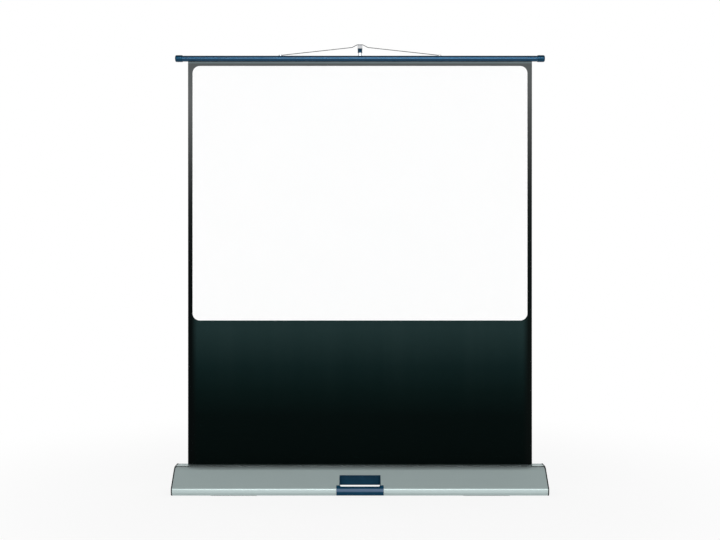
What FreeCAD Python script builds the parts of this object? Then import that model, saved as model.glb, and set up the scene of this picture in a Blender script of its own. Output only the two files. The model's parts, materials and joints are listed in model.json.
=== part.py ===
"""Portable floor projection screen, pulled up out of an aluminium casing.

Millimetres, +Z up. X runs along the casing, the screen faces -Y, the
fabric hangs in the plane Y = 0 and the floor is Z = 0.
"""
import FreeCAD, Part
import math
import os
import Sketcher
from FreeCAD import Rotation, Vector

os.makedirs("parts", exist_ok=True)
doc = FreeCAD.newDocument("ProjectionScreen")
sizes_sheet = doc.addObject("Spreadsheet::Sheet", "sizes")


class Size:
    """A length that knows its number and the expression that gives it."""

    def __init__(self, number, text):
        self.number = float(number)
        self.text = text

    def join(self, other, sign, number):
        return Size(number, "(" + self.text + " " + sign + " " + size(other).text + ")")

    def __add__(self, other):
        return self.join(other, "+", self.number + size(other).number)

    def __sub__(self, other):
        return self.join(other, "-", self.number - size(other).number)

    def __mul__(self, other):
        return self.join(other, "*", self.number * size(other).number)

    def __truediv__(self, other):
        return self.join(other, "/", self.number / size(other).number)

    def __radd__(self, other):
        return size(other) + self

    def __rsub__(self, other):
        return size(other) - self

    def __rmul__(self, other):
        return size(other) * self

    def __neg__(self):
        return Size(-self.number, "(0 - " + self.text + ")")


def size(value):
    """Take a plain number or a Size and give a Size."""
    return value if isinstance(value, Size) else Size(value, repr(float(value)))


def root(value):
    """Square root of a Size."""
    return Size(math.sqrt(value.number), "sqrt(" + value.text + ")")


# Clearances and common sizes
seat_gap = 0.3  # gap between faces that move on or near each other
shaft_gap = 0.05  # radial clearance of a pin, shaft or plug in its hole
overrun = 5  # how far a cut runs past what it cuts

# Screen fabric and picture
image_width = 1500  # white picture width
image_height = 1140  # white picture height
image_corner = 23  # corner radius of the white picture
image_layer = 0.15  # thickness of the white coating
side_border = 20.5  # black border beside the picture
top_border = 18  # black border above the picture
black_drop = 643.5  # black fabric below the picture
fabric_thick = 0.5  # thickness of the fabric

# Casing section, in the Y Z plane
case_margin = 50  # casing past the fabric at each end
case_back = 12  # fabric plane to the casing's rear face
case_front = 146  # fabric plane to the casing's nose
shell_wall = 2  # wall of the casing's shells
shoulder_reach = 64.5  # fabric plane to the top of the slope
shoulder_round = 45  # radius from the top into the slope
nose_height = 33.5  # height where the slope meets the nose
nose_round = 14  # radius from the slope into the nose
toe_round = 16  # radius from the nose into the floor flange
flange_reach = 108  # fabric plane to the floor flange's rear edge
pad_height = 1.5  # rubber pad height under the floor flange
plate_height = 34  # floor to the underside of the base plate
skirt_height = 18  # floor to the rear wall's lower edge
cover_thick = 3  # thickness of the top cover
ledge_rear = 36  # fabric plane to the rear edge of the shell's ledge
cover_front = 44  # fabric plane to the top cover's front edge
bead_width = 6  # width of the dark bead in front of the cover
bead_height = 2.4  # height of the dark bead
slot_width = 6  # width of the fabric slot
slot_rib = 7  # depth of the slot's edges
felt_thick = 2.4  # thickness of the felt on each slot edge
cap_plate = 5  # thickness of the casing's end plates
cap_rim = 1  # how far the end plates stand out past the shells
cap_heel = 92  # fabric plane to the step in the end plate's lower edge
cap_heel_height = 16  # height of the end plate behind that step

# Handle in the casing's front
cheek_width = 15  # width of the cheek at each end of the grip
grip_height = 38  # height of the grip's bar
grip_depth = 29  # depth of the grip, front to back
grip_proud = 1  # how far the grip stands out of the nose
cheek_height = 46  # height of the cheeks at the grip's ends
cheek_bevel = 4  # bevel between the bar and its cheeks
grip_round = 6  # rounding of the grip's edges
recess_length = 175  # length of the finger recess
recess_top = 80  # height of the recess's upper edge
recess_back = 68  # fabric plane to the recess's back wall
tray_wall = 2  # wall of the recess tray

# Roller
roller_under = 10  # base plate up to the cloth on the roller
roller_over = 19  # cloth on the roller up to the casing's top
roller_bore_wall = 1.2  # wall of the roller tube
roller_radius = 22.5  # outer radius of the roller tube
roller_end_gap = 8  # bracket's inner face to the roller's end
bracket_thick = 3  # thickness of the roller brackets
bracket_foot = 20  # length of the bracket's foot
bracket_half = 32  # half depth of the roller bracket
pin_radius = 5  # radius of the roller's shaft and pin
shaft_length = 320  # length of the spring shaft
idle_length = 34  # length of the idle pin
plug_length = 20  # length of the roller's end plugs
spring_radius = 8.5  # outer radius of the torsion spring
spring_length = 260  # length of the torsion spring

# Mast
mast_offset = 31  # fabric plane to the mast's axis
outer_radius = 12.5  # outer radius of the lower mast tube
middle_radius = 10.75  # outer radius of the middle mast tube
inner_radius = 9  # outer radius of the upper mast tube
mast_wall = 1.2  # wall of the mast tubes
mast_foot = 42  # floor to the lower mast tube's end
outer_top = 790  # floor to the lower mast tube's top
middle_length = 720  # length of the middle mast tube
middle_overlap = 130  # middle tube held in the lower tube
inner_overlap = 110  # upper tube held in the middle tube
bush_length = 12  # length of the bush below a mast tube
spigot_length = 20  # length of a plug inside a tube
collar_radius = 16  # outer radius of the twist-lock collars
collar_height = 45  # height of the twist-lock collars
collar_skirt = 20  # length of the collar round the tube below
flute_depth = 0.8  # depth of the flutes in a twist-lock collar
flute_radius = 1.6  # radius of those flutes
socket_half = 20  # half width of the mast socket
socket_depth = 35  # depth of the mast socket, front to back
socket_height = 64  # height of the mast socket
socket_round = 10  # corner radius of the mast socket

# Mast head
head_radius = 9.75  # outer radius of the collar under the hook
head_height = 17  # height of the collar under the hook
hook_width = 22  # width of the hook
hook_tip = 5  # how far the hook's tip passes the fabric plane
hook_stop = 4.9  # fabric plane to the hook's back stop
hook_stop_height = 5.5  # height of the stop above the seat
hook_arm = 11  # height of the hook's arm at its tip
hook_stem_drop = 5.5  # arm's tip down to the foot of the hook
hook_round = 3  # rounding of the hook's edges

# Top bar and bail
bar_radius = 13  # outer radius of the top bar
bar_wall = 1.5  # wall of the top bar
bar_margin = 56.5  # top bar past the fabric at each end
bar_lip = 2  # how far the hem strip stands below the bar
bar_cap_radius = 15.35  # radius of the bar's end caps
bar_cap_length = 32  # length of the bar's end caps
bar_cap_floor = 4  # end thickness of the bar's end caps
bar_slot = 5  # width of the slot along the bar's underside
strip_shoulder = 8  # width of the hem strip inside the bar
strip_shoulder_low = 10.2  # bar axis down to those shoulders
strip_top = 7  # bar axis down to the hem strip's top
strip_slit = 1.1  # width of the slit that holds the fabric
strip_slit_top = 9  # bar axis down to the slit's end
rod_radius = 2.5  # radius of the rod in the bar
eye_reach = 356  # centre to each bail eye along the bar
eye_rise = 15.5  # bar axis up to the bail's pivots
eye_thick = 6  # thickness of the bail eyes
eye_half = 4  # half width and top radius of the bail eyes
wire_radius = 1.5  # radius of the bail's wire
wire_stub = 8  # wire end past the eye's centre
knee_reach = 35  # centre to each knee of the bail
knee_rise = 35  # bail pivots up to its knees
apex_reach = 13.5  # half width of the bail's top
bend_radius = 3  # radius of the wire's bends
apex_rise = 46.8  # bail pivots up to its top

# Swing-out rear feet and fasteners
foot_inset = 220.5  # casing's end to each foot's pivot
foot_pivot = 60  # fabric plane to the feet's pivots
foot_tip = 147  # fabric plane to the feet's rear tips
foot_width = 30  # width of a foot
foot_height = 12  # height of a foot's bar
foot_pad_height = 3  # height of a foot's rubber pad
foot_pad_length = 40  # length of a foot's rubber pad
foot_chamfer = 2  # chamfer of a foot's upper edges
bolt_radius = 4  # radius of a foot's pivot bolt
bolt_head_radius = 9  # radius of its heads
bolt_head = 2  # height of its lower head
nose_pad_length = 200  # length of each rubber pad at the nose
nose_pad_inset = 270.5  # casing's end to the middle of each nose pad
screw_radius = 2  # radius of the small screws
screw_head_radius = 4  # radius of their heads
screw_head = 2.2  # height of their heads
screw_length = 8  # length of their shanks

# Each driving dimension above goes into the sheet, and from here on its name stands for its cell
driving_names = [name for name, value in list(globals().items()) if isinstance(value, (int, float))]
for row, name in enumerate(driving_names, start=1):
    sizes_sheet.set("A" + str(row), name.replace("_", " "))
    sizes_sheet.set("B" + str(row), str(globals()[name]))
    sizes_sheet.setAlias("B" + str(row), name)
    globals()[name] = Size(globals()[name], "sizes." + name)

# Counts, an angle and a share, which don't grow with the part
wound_turn_count = 3
flute_count = 12
bail_lean_degrees = 3.7
half_share = 0.5

# Places that follow from the driving dimensions
fabric_width = image_width + 2 * side_border
case_length = fabric_width + 2 * case_margin
bar_length = fabric_width + 2 * bar_margin
inner_half = case_length / 2 - cap_plate
foot_reach = case_length / 2 - foot_inset
nose_pad_place = case_length / 2 - nose_pad_inset
plate_top = plate_height + shell_wall
wound_radius = roller_radius + wound_turn_count * fabric_thick
roller_back = wound_radius + fabric_thick / 2 + seat_gap
roller_height = plate_top + roller_under + wound_radius
roller_half = inner_half - bracket_thick - roller_end_gap
case_height = roller_height + wound_radius + roller_over
ledge_height = case_height - cover_thick
slope_run = (case_front - shoulder_reach) / (ledge_height - nose_height)
slope_slant = root(1 + slope_run * slope_run)
image_bottom = case_height + black_drop
lip_height = image_bottom + image_height + top_border
bar_height = lip_height + bar_lip + bar_radius
eye_height = bar_height + eye_rise
seat_height = eye_height + apex_rise - wire_radius - 2 * seat_gap
head_top = seat_height - hook_arm - hook_stem_drop
middle_bottom = outer_top - middle_overlap
middle_top = middle_bottom + middle_length
inner_bottom = middle_top - inner_overlap
inner_length = head_top - inner_bottom
grip_length = recess_length + 2 * cheek_width
grip_front = case_front + grip_proud
grip_back = grip_front - grip_depth

made = {}


def slope_reach(height):
    """Distance of the casing's sloping front from the fabric plane, at a height."""
    return shoulder_reach + (ledge_height - height) * slope_run


def bind(thing, path, value):
    """Drive one property of an object from the sheet."""
    thing.setExpression(path, size(value).text)


def place(thing, x=0, y=0, z=0):
    """Drive an object's position from the sheet."""
    for axis, value in (("x", x), ("y", y), ("z", z)):
        bind(thing, "Placement.Base." + axis, value)


def new_body(label, x=0, y=0, z=0):
    """Start the body of one piece."""
    body = doc.addObject("PartDesign::Body", label)
    body.Label = label
    place(body, x, y, z)
    made[label] = body
    return body


def new_sketch(body, plane, offset=0):
    """Start a sketch on one of the body's own planes, moved along its normal."""
    sketch = body.newObject("Sketcher::SketchObject", body.Label + "_sketch")
    plane_feature = [f for f in body.Origin.OriginFeatures if f.Role == plane][0]
    sketch.AttachmentSupport = (plane_feature, "")
    sketch.MapMode = "FlatFace"
    bind(sketch, "AttachmentOffset.Base.z", offset)
    return sketch


def fix_point(sketch, geometry, point, x, y):
    """Dimension one point of a sketch from its origin."""
    for kind, value in (("DistanceX", size(x)), ("DistanceY", size(y))):
        constraint = Sketcher.Constraint(kind, -1, 1, geometry, point, value.number)
        index = sketch.addConstraint(constraint)
        bind(sketch, "Constraints[" + str(index) + "]", value)


def draw_polygon(sketch, corners):
    """Draw a closed outline through corners given as pairs of sizes."""
    first = sketch.GeometryCount
    count = len(corners)
    spots = [Vector(size(x).number, size(y).number, 0) for x, y in corners]
    for i in range(count):
        sketch.addGeometry(Part.LineSegment(spots[i], spots[(i + 1) % count]))
    for i in range(count):
        after = first + (i + 1) % count
        sketch.addConstraint(Sketcher.Constraint("Coincident", first + i, 2, after, 1))
    for i, (x, y) in enumerate(corners):
        fix_point(sketch, first + i, 1, x, y)


def draw_circle(sketch, x, y, radius):
    """Draw a circle from its centre and radius."""
    centre = Vector(size(x).number, size(y).number, 0)
    circle = Part.Circle(centre, Vector(0, 0, 1), size(radius).number)
    index = sketch.addGeometry(circle)
    constraint = Sketcher.Constraint("Radius", index, size(radius).number)
    constraint_index = sketch.addConstraint(constraint)
    bind(sketch, "Constraints[" + str(constraint_index) + "]", radius)
    fix_point(sketch, index, 3, x, y)


def extrude(body, sketch, length, symmetric=False, backwards=False):
    """Pad a sketch along its normal, or against it where backwards is true."""
    pad = body.newObject("PartDesign::Pad", body.Label + "_pad")
    pad.Profile = sketch
    bind(pad, "Length", length)
    pad.SideType = "Symmetric" if symmetric else "One side"
    pad.Reversed = backwards
    doc.recompute()
    return pad


def cut(body, sketch, length, symmetric=False, backwards=False):
    """Pocket a sketch against its normal, or along it where backwards is true."""
    before = body.Shape.Volume
    pocket = body.newObject("PartDesign::Pocket", body.Label + "_pocket")
    pocket.Profile = sketch
    bind(pocket, "Length", length)
    pocket.SideType = "Symmetric" if symmetric else "One side"
    pocket.Reversed = backwards
    doc.recompute()
    if not body.Shape.Volume < before:
        raise ValueError(body.Label + ": a pocket cut nothing")
    return pocket


def edges_near(shape, spots, axes="yz"):
    """Names of the straight edges whose middle lies at a spot, seen along one axis."""
    names = []
    for number, edge in enumerate(shape.Edges):
        middle = edge.CenterOfMass
        for spot in spots:
            near = True
            for axis, value in zip(axes, spot):
                near = near and abs(getattr(middle, axis) - size(value).number) < 1e-4
            if near:
                names.append("Edge" + str(number + 1))
    return names


def soften(body, names, radius, kind="Fillet"):
    """Fillet or chamfer the named edges of the body's last feature."""
    if not names:
        raise ValueError(body.Label + ": no edge found to soften")
    base = body.Tip
    feature = body.newObject("PartDesign::" + kind, body.Label + "_" + kind.lower())
    feature.Base = (base, names)
    bind(feature, "Radius" if kind == "Fillet" else "Size", radius)
    doc.recompute()
    return feature


def round_edges(body, spots, radius, axes="yz"):
    """Fillet the straight edges at these spots, given in the body's own space."""
    soften(body, edges_near(body.Tip.Shape, spots, axes), radius)


def prism_along_x(label, corners, length, x=0):
    """A body with one outline in the Y Z plane, centred on x."""
    body = new_body(label, x)
    sketch = new_sketch(body, "YZ_Plane")
    draw_polygon(sketch, corners)
    extrude(body, sketch, length, symmetric=True)
    return body


def rectangle(low_x, low_y, high_x, high_y):
    """Corners of a rectangle."""
    return [(low_x, low_y), (high_x, low_y), (high_x, high_y), (low_x, high_y)]


def tube(label, outer, inner, length, x=0, y=0, z=0, plane="XY_Plane", symmetric=False):
    """A round tube, or a rod where the inner radius is None."""
    body = new_body(label, x, y, z)
    sketch = new_sketch(body, plane)
    draw_circle(sketch, 0, 0, outer)
    if inner is not None:
        draw_circle(sketch, 0, 0, inner)
    extrude(body, sketch, length, symmetric=symmetric)
    return body


# Casing shells
def make_front_shell():
    """Sloping front with its ledge, nose and floor flange: one bent and drawn wall."""
    outline = [
        (-ledge_rear, ledge_height),
        (-shoulder_reach, ledge_height),
        (-case_front, nose_height),
        (-case_front, pad_height),
        (-flange_reach, pad_height),
    ]
    body = prism_along_x("front_shell", outline, 2 * inner_half)
    round_edges(body, [outline[1]], shoulder_round)
    round_edges(body, [outline[2]], nose_round)
    round_edges(body, [outline[3]], toe_round)
    open_faces = []
    back_y = -((ledge_rear + flange_reach) / 2).number
    for number, face in enumerate(body.Tip.Shape.Faces):
        middle = face.CenterOfMass
        at_end = abs(abs(middle.x) - inner_half.number) < 1e-3
        if at_end or abs(middle.y - back_y) < 1e-3:
            open_faces.append("Face" + str(number + 1))
    solid = body.Tip
    shell = body.newObject("PartDesign::Thickness", "front_shell_wall")
    shell.Base = (solid, open_faces)
    shell.Reversed = True
    bind(shell, "Value", shell_wall)
    doc.recompute()
    opening = new_sketch(body, "XZ_Plane")
    recess = recess_length / 2 + tray_wall + seat_gap
    grip = grip_length / 2 + seat_gap
    top = recess_top + tray_wall + seat_gap
    step = cheek_height + seat_gap
    draw_polygon(opening, [
        (-recess, top), (-recess, step), (-grip, step), (-grip, -overrun),
        (grip, -overrun), (grip, step), (recess, step), (recess, top),
    ])
    cut(body, opening, case_front + overrun, backwards=True)


def make_rear_shell():
    """Rear wall with the slot's rear lip, and the base plate that closes the casing."""
    wall_front = case_back - shell_wall
    lip_front = slot_width / 2
    nose_inside = slope_reach(plate_top) - shell_wall * slope_slant - seat_gap
    body = prism_along_x("rear_shell", [
        (case_back, skirt_height), (case_back, case_height), (lip_front, case_height),
        (lip_front, case_height - slot_rib), (lip_front + shell_wall, case_height - slot_rib),
        (lip_front + shell_wall, case_height - shell_wall),
        (wall_front, case_height - shell_wall),
        (wall_front, plate_top), (-nose_inside, plate_top), (-nose_inside, plate_height),
        (wall_front, plate_height), (wall_front, skirt_height),
    ], 2 * inner_half)
    bay = new_sketch(body, "XY_Plane", plate_height - overrun)
    bay_half = recess_length / 2 + tray_wall + seat_gap
    bay_back = -(recess_back - tray_wall - seat_gap)
    ear_half = grip_length / 2 + seat_gap
    ear_back = -(grip_back - tray_wall - seat_gap)
    draw_polygon(bay, [
        (-ear_half, -case_front), (ear_half, -case_front), (ear_half, ear_back),
        (bay_half, ear_back), (bay_half, bay_back), (-bay_half, bay_back),
        (-bay_half, ear_back), (-ear_half, ear_back),
    ])
    for side in (-1, 1):
        draw_circle(bay, side * foot_reach, -foot_pivot, bolt_radius + shaft_gap)
    cut(body, bay, 2 * overrun + shell_wall, backwards=True)
    holes = new_sketch(body, "XZ_Plane", -case_back - overrun)
    for x, z in socket_screw_places():
        draw_circle(holes, x, z, screw_radius + shaft_gap)
    cut(body, holes, 2 * overrun + shell_wall, backwards=True)


def socket_screw_places():
    """The four screws that hold the mast socket to the rear wall."""
    across = socket_half - screw_head_radius - screw_radius
    low = plate_top + screw_head_radius + 2 * screw_radius
    high = low + socket_height - 4 * screw_head_radius
    return [(side * across, z) for side in (-1, 1) for z in (low, high)]


def make_top_cover():
    """Flat strip on top, with the front edge of the fabric slot."""
    rear = -slot_width / 2
    prism_along_x("top_cover", [
        (-cover_front, case_height), (rear, case_height), (rear, case_height - slot_rib),
        (rear - shell_wall, case_height - slot_rib), (rear - shell_wall, ledge_height),
        (-cover_front, ledge_height),
    ], 2 * inner_half)
    front = -cover_front - bead_width
    bead_top = ledge_height + bead_height
    bead = prism_along_x("cover_bead",
                         rectangle(front, ledge_height, -cover_front, bead_top), 2 * inner_half)
    round_edges(bead, [(front, bead_top)], bead_height * half_share)


def make_slot_felts():
    """Felt strips that wipe the fabric as it passes the slot."""
    low = case_height - slot_rib
    high = case_height - felt_thick / 4
    edge = slot_width / 2
    inside = edge - felt_thick
    prism_along_x("slot_felt_front", rectangle(-edge, low, -inside, high), 2 * inner_half)
    prism_along_x("slot_felt_rear", rectangle(inside, low, edge, high), 2 * inner_half)


def end_plate_outline():
    """The casing's section, a rim larger all round, with a step up behind the toe."""
    top = case_height + cap_rim
    front = case_front + cap_rim
    shoulder = slope_reach(top) + cap_rim * slope_slant
    brow = nose_height + cap_rim * (slope_slant - 1) / slope_run
    low = pad_height - cap_rim * half_share
    return [
        (case_back + cap_rim, top), (-shoulder, top), (-front, brow), (-front, low),
        (-cap_heel - cap_heel_height, low), (-cap_heel, cap_heel_height),
        (case_back + cap_rim, cap_heel_height),
    ]


def end_screw_places():
    """Screws through each end plate into the roller bracket behind it."""
    across = bracket_half - 2 * screw_head_radius
    up = wound_radius + roller_over - cover_thick - 3 * screw_head_radius
    places = []
    for y in (-roller_back - across, -roller_back + across):
        for z in (roller_height - up, roller_height + up):
            places.append((y, z))
    return places


def make_end_caps():
    """End plates that close the casing, and the screws that hold them."""
    for name, side in (("left", -1), ("right", 1)):
        corners = end_plate_outline()
        body = prism_along_x("end_cap_" + name, corners, cap_plate,
                             x=side * (inner_half + cap_plate / 2))
        round_edges(body, [corners[1]], shoulder_round + cap_rim)
        round_edges(body, [corners[2]], nose_round + cap_rim)
        round_edges(body, [corners[3]], toe_round + cap_rim)
        holes = new_sketch(body, "YZ_Plane")
        for y, z in end_screw_places():
            draw_circle(holes, y, z, screw_radius + shaft_gap)
        cut(body, holes, 2 * cap_plate, symmetric=True)


# Small fasteners, grouped in one node each
def screw(spot, direction, head_radius, head, radius, length):
    """One pan-head screw: the head's underside sits at the spot, the shank runs on."""
    solid = Part.makeCylinder(head_radius.number, head.number, spot, direction * -1)
    shank = Part.makeCylinder(radius.number, length.number, spot, direction)
    return solid.fuse(shank).removeSplitter()


def screw_group(label, places, head_radius=screw_head_radius, head=screw_head,
                radius=screw_radius, length=screw_length):
    """A node of identical screws, each at a spot with a direction."""
    feature = doc.addObject("Part::Feature", label)
    feature.Label = label
    screws = []
    for x, y, z, direction in places:
        spot = Vector(size(x).number, size(y).number, size(z).number)
        screws.append(screw(spot, direction, head_radius, head, radius, length))
    feature.Shape = Part.makeCompound(screws)
    feature.Placement = FreeCAD.Placement()
    made[label] = feature


def make_screws():
    """End plate, socket and handle screws."""
    along_x = Vector(1, 0, 0)
    along_y = Vector(0, 1, 0)
    places = []
    for side in (-1, 1):
        for y, z in end_screw_places():
            places.append((side * case_length / 2, y, z, along_x * -side))
    screw_group("end_cap_screws", places, length=cap_plate + bracket_thick)
    places = [(x, case_back - shell_wall, z, along_y) for x, z in socket_screw_places()]
    screw_group("socket_screws", places, length=shell_wall + screw_length)
    ear_back = -(grip_back - tray_wall)
    places = [(x, ear_back, z, along_y * -1) for x, z in handle_screw_places()]
    screw_group("handle_screws", places, length=tray_wall + screw_length)


# Handle
def make_handle_tray():
    """Moulded recess behind the grip, open at the front and below."""
    back = recess_back - tray_wall
    top = recess_top + tray_wall
    body = prism_along_x("handle_tray", [
        (-back, plate_height), (-back, top), (-slope_reach(top), top),
        (-slope_reach(cheek_height), cheek_height), (-grip_back, cheek_height),
        (-grip_back, plate_height),
    ], recess_length + 2 * tray_wall)
    hollow = new_sketch(body, "YZ_Plane")
    far = case_front + overrun
    low = plate_height - overrun
    draw_polygon(hollow, rectangle(-far, low, -recess_back, recess_top))
    cut(body, hollow, recess_length, symmetric=True)
    ears = new_sketch(body, "XZ_Plane", grip_back - tray_wall)
    low = cheek_height / 2 - 2 * screw_head_radius
    for side in (-1, 1):
        near = side * recess_length / 2
        draw_polygon(ears, rectangle(near, low, side * grip_length / 2, cheek_height))
    extrude(body, ears, tray_wall)
    holes = new_sketch(body, "XZ_Plane", grip_back - tray_wall - overrun)
    for x, z in handle_screw_places():
        draw_circle(holes, x, z, screw_radius + shaft_gap)
    cut(body, holes, 2 * overrun, backwards=True)


def handle_screw_places():
    """A screw into each cheek of the grip, from behind."""
    x = (grip_length + recess_length) / 4
    return [(-x, cheek_height / 2), (x, cheek_height / 2)]


def make_handle_grip():
    """Carrying bar that carries the nose's line across the recess."""
    proud = grip_proud
    corners = [
        (-grip_back, pad_height), (-grip_back, cheek_height),
        (-slope_reach(cheek_height) - proud * slope_slant, cheek_height),
        (-grip_front, nose_height), (-grip_front, pad_height),
    ]
    body = prism_along_x("handle_grip", corners, grip_length)
    round_edges(body, [corners[3]], nose_round)
    round_edges(body, [corners[4]], toe_round)
    gap = new_sketch(body, "XZ_Plane")
    reach = recess_length / 2
    corner = reach - cheek_bevel
    high = cheek_height + overrun
    step = grip_height + cheek_bevel
    draw_polygon(gap, [
        (-reach, high), (-reach, step), (-corner, grip_height),
        (corner, grip_height), (reach, step), (reach, high),
    ])
    cut(body, gap, grip_front + overrun, backwards=True)
    round_edges(body, [(-grip_back, pad_height)], grip_round)
    round_edges(body, [(-grip_back, grip_height)], grip_round)
    holes = new_sketch(body, "XZ_Plane", grip_back - overrun)
    for x, z in handle_screw_places():
        draw_circle(holes, x, z, screw_radius + shaft_gap)
    cut(body, holes, overrun + screw_length + seat_gap, backwards=True)


# Roller and what carries it
def make_brackets():
    """Angle brackets inside the end plates that hold the roller's shaft and pin."""
    low = plate_top
    high = case_height - slot_rib - seat_gap
    rear = case_back - shell_wall - seat_gap
    front = -roller_back - bracket_half
    for name, side in (("left", -1), ("right", 1)):
        body = new_body("roller_bracket_" + name, side * inner_half)
        sketch = new_sketch(body, "XZ_Plane", -rear)
        wall = -side * bracket_thick
        foot = -side * bracket_foot
        draw_polygon(sketch, [
            (0, low), (foot, low), (foot, low + bracket_thick),
            (wall, low + bracket_thick), (wall, high), (0, high),
        ])
        extrude(body, sketch, rear - front)
        holes = new_sketch(body, "YZ_Plane")
        draw_circle(holes, -roller_back, roller_height, pin_radius + shaft_gap)
        for y, z in end_screw_places():
            draw_circle(holes, y, z, screw_radius + shaft_gap)
        cut(body, holes, 4 * bracket_thick, symmetric=True)


def make_roller():
    """Roller tube, its end plugs and spring, and the fabric that stays wound on it."""
    y = -roller_back
    z = roller_height
    bore = roller_radius - roller_bore_wall
    tube("roller_tube", roller_radius, bore, 2 * roller_half, 0, y, z, "YZ_Plane", True)
    tube("wound_fabric", wound_radius, roller_radius, fabric_width, 0, y, z, "YZ_Plane", True)
    plug = bore - shaft_gap
    hole = pin_radius + shaft_gap
    tube("spring_end_plug", plug, hole, plug_length, -roller_half, y, z, "YZ_Plane")
    tube("idle_end_plug", plug, hole, plug_length, roller_half - plug_length, y, z, "YZ_Plane")
    tube("spring_shaft", pin_radius, None, shaft_length, -inner_half, y, z, "YZ_Plane")
    tube("idle_pin", pin_radius, None, idle_length, inner_half - idle_length, y, z, "YZ_Plane")
    spring_start = -roller_half + plug_length + seat_gap
    tube("torsion_spring", spring_radius, hole, spring_length, spring_start, y, z, "YZ_Plane")


# Mast
def make_mast_socket():
    """Block behind the rear wall that the mast plugs into."""
    body = new_body("mast_socket", 0, case_back, plate_top)
    sketch = new_sketch(body, "XY_Plane")
    draw_polygon(sketch, rectangle(-socket_half, 0, socket_half, socket_depth))
    extrude(body, sketch, socket_height)
    corners = [(-socket_half, socket_depth), (socket_half, socket_depth)]
    round_edges(body, corners, socket_round, "xy")
    bore = new_sketch(body, "XY_Plane", mast_foot - plate_top)
    draw_circle(bore, 0, mast_offset - case_back, outer_radius + shaft_gap)
    cut(body, bore, socket_height, backwards=True)
    holes = new_sketch(body, "XZ_Plane", 0)
    for x, height in socket_screw_places():
        draw_circle(holes, x, height - plate_top, screw_radius + shaft_gap)
    cut(body, holes, screw_length + seat_gap)


def make_mast():
    """Three telescoping tubes with the bushes that guide them."""
    y = mast_offset
    tube("mast_outer", outer_radius, outer_radius - mast_wall,
         outer_top - mast_foot, 0, y, mast_foot)
    tube("mast_foot_plug", outer_radius - mast_wall - shaft_gap, None,
         spigot_length, 0, y, mast_foot)
    for name, radius, around, bottom, length in (
            ("middle", middle_radius, outer_radius, middle_bottom, middle_length),
            ("inner", inner_radius, middle_radius, inner_bottom, inner_length)):
        tube("mast_" + name, radius, radius - mast_wall, length, 0, y, bottom)
        bush = tube(name + "_bush", around - mast_wall - 2 * shaft_gap, None,
                    bush_length, 0, y, bottom - bush_length)
        spigot = new_sketch(bush, "XY_Plane", bush_length)
        draw_circle(spigot, 0, 0, radius - mast_wall - shaft_gap)
        extrude(bush, spigot, spigot_length)


def make_lock_collar(label, below, above, seat):
    """Fluted twist-lock collar: wide bore round the tube below, narrow round the one above."""
    body = new_body(label, 0, mast_offset, seat - collar_skirt)
    profile = new_sketch(body, "XZ_Plane")
    wide = below + seat_gap
    narrow = above + seat_gap
    step = collar_skirt + seat_gap
    shoulder = collar_height - collar_radius / 4
    neck = above + (collar_radius - above) / 2
    draw_polygon(profile, [
        (wide, 0), (collar_radius, 0), (collar_radius, shoulder), (neck, collar_height),
        (narrow, collar_height), (narrow, step), (wide, step),
    ])
    revolution = body.newObject("PartDesign::Revolution", label + "_turned")
    revolution.Profile = profile
    revolution.ReferenceAxis = (profile, ["V_Axis"])
    revolution.Angle = 360
    doc.recompute()
    flute = new_sketch(body, "XY_Plane")
    draw_circle(flute, collar_radius + flute_radius - flute_depth, 0, flute_radius)
    pocket = cut(body, flute, collar_height, backwards=True)
    pattern = body.newObject("PartDesign::PolarPattern", label + "_flutes")
    pattern.Originals = [pocket]
    pattern.Axis = (flute, ["N_Axis"])
    pattern.Angle = 360
    pattern.Occurrences = flute_count
    body.Tip = pattern
    doc.recompute()


def make_mast_head():
    """Collar, hook arm and the cap behind its seat, where the bail lies."""
    y = mast_offset
    collar_bottom = head_top - head_height
    tube("head_collar", head_radius, inner_radius + shaft_gap, head_height, 0, y, collar_bottom)
    back = mast_offset + inner_radius
    front_of_stem = mast_offset - inner_radius
    tip_bottom = seat_height - hook_arm
    body = prism_along_x("bail_hook", [
        (back, head_top), (back, seat_height), (-hook_tip, seat_height),
        (-hook_tip, tip_bottom), (front_of_stem, head_top),
    ], hook_width)
    round_edges(body, [(-hook_tip, seat_height), (-hook_tip, tip_bottom)], hook_round)
    spigot = new_sketch(body, "XY_Plane", head_top)
    draw_circle(spigot, 0, mast_offset, inner_radius - mast_wall - shaft_gap)
    extrude(body, spigot, spigot_length, backwards=True)
    stop_top = seat_height + hook_stop_height
    cap = prism_along_x("hook_cap", rectangle(hook_stop, seat_height, back, stop_top), hook_width)
    round_edges(cap, [(back, stop_top), (hook_stop, stop_top)], hook_round)


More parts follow.
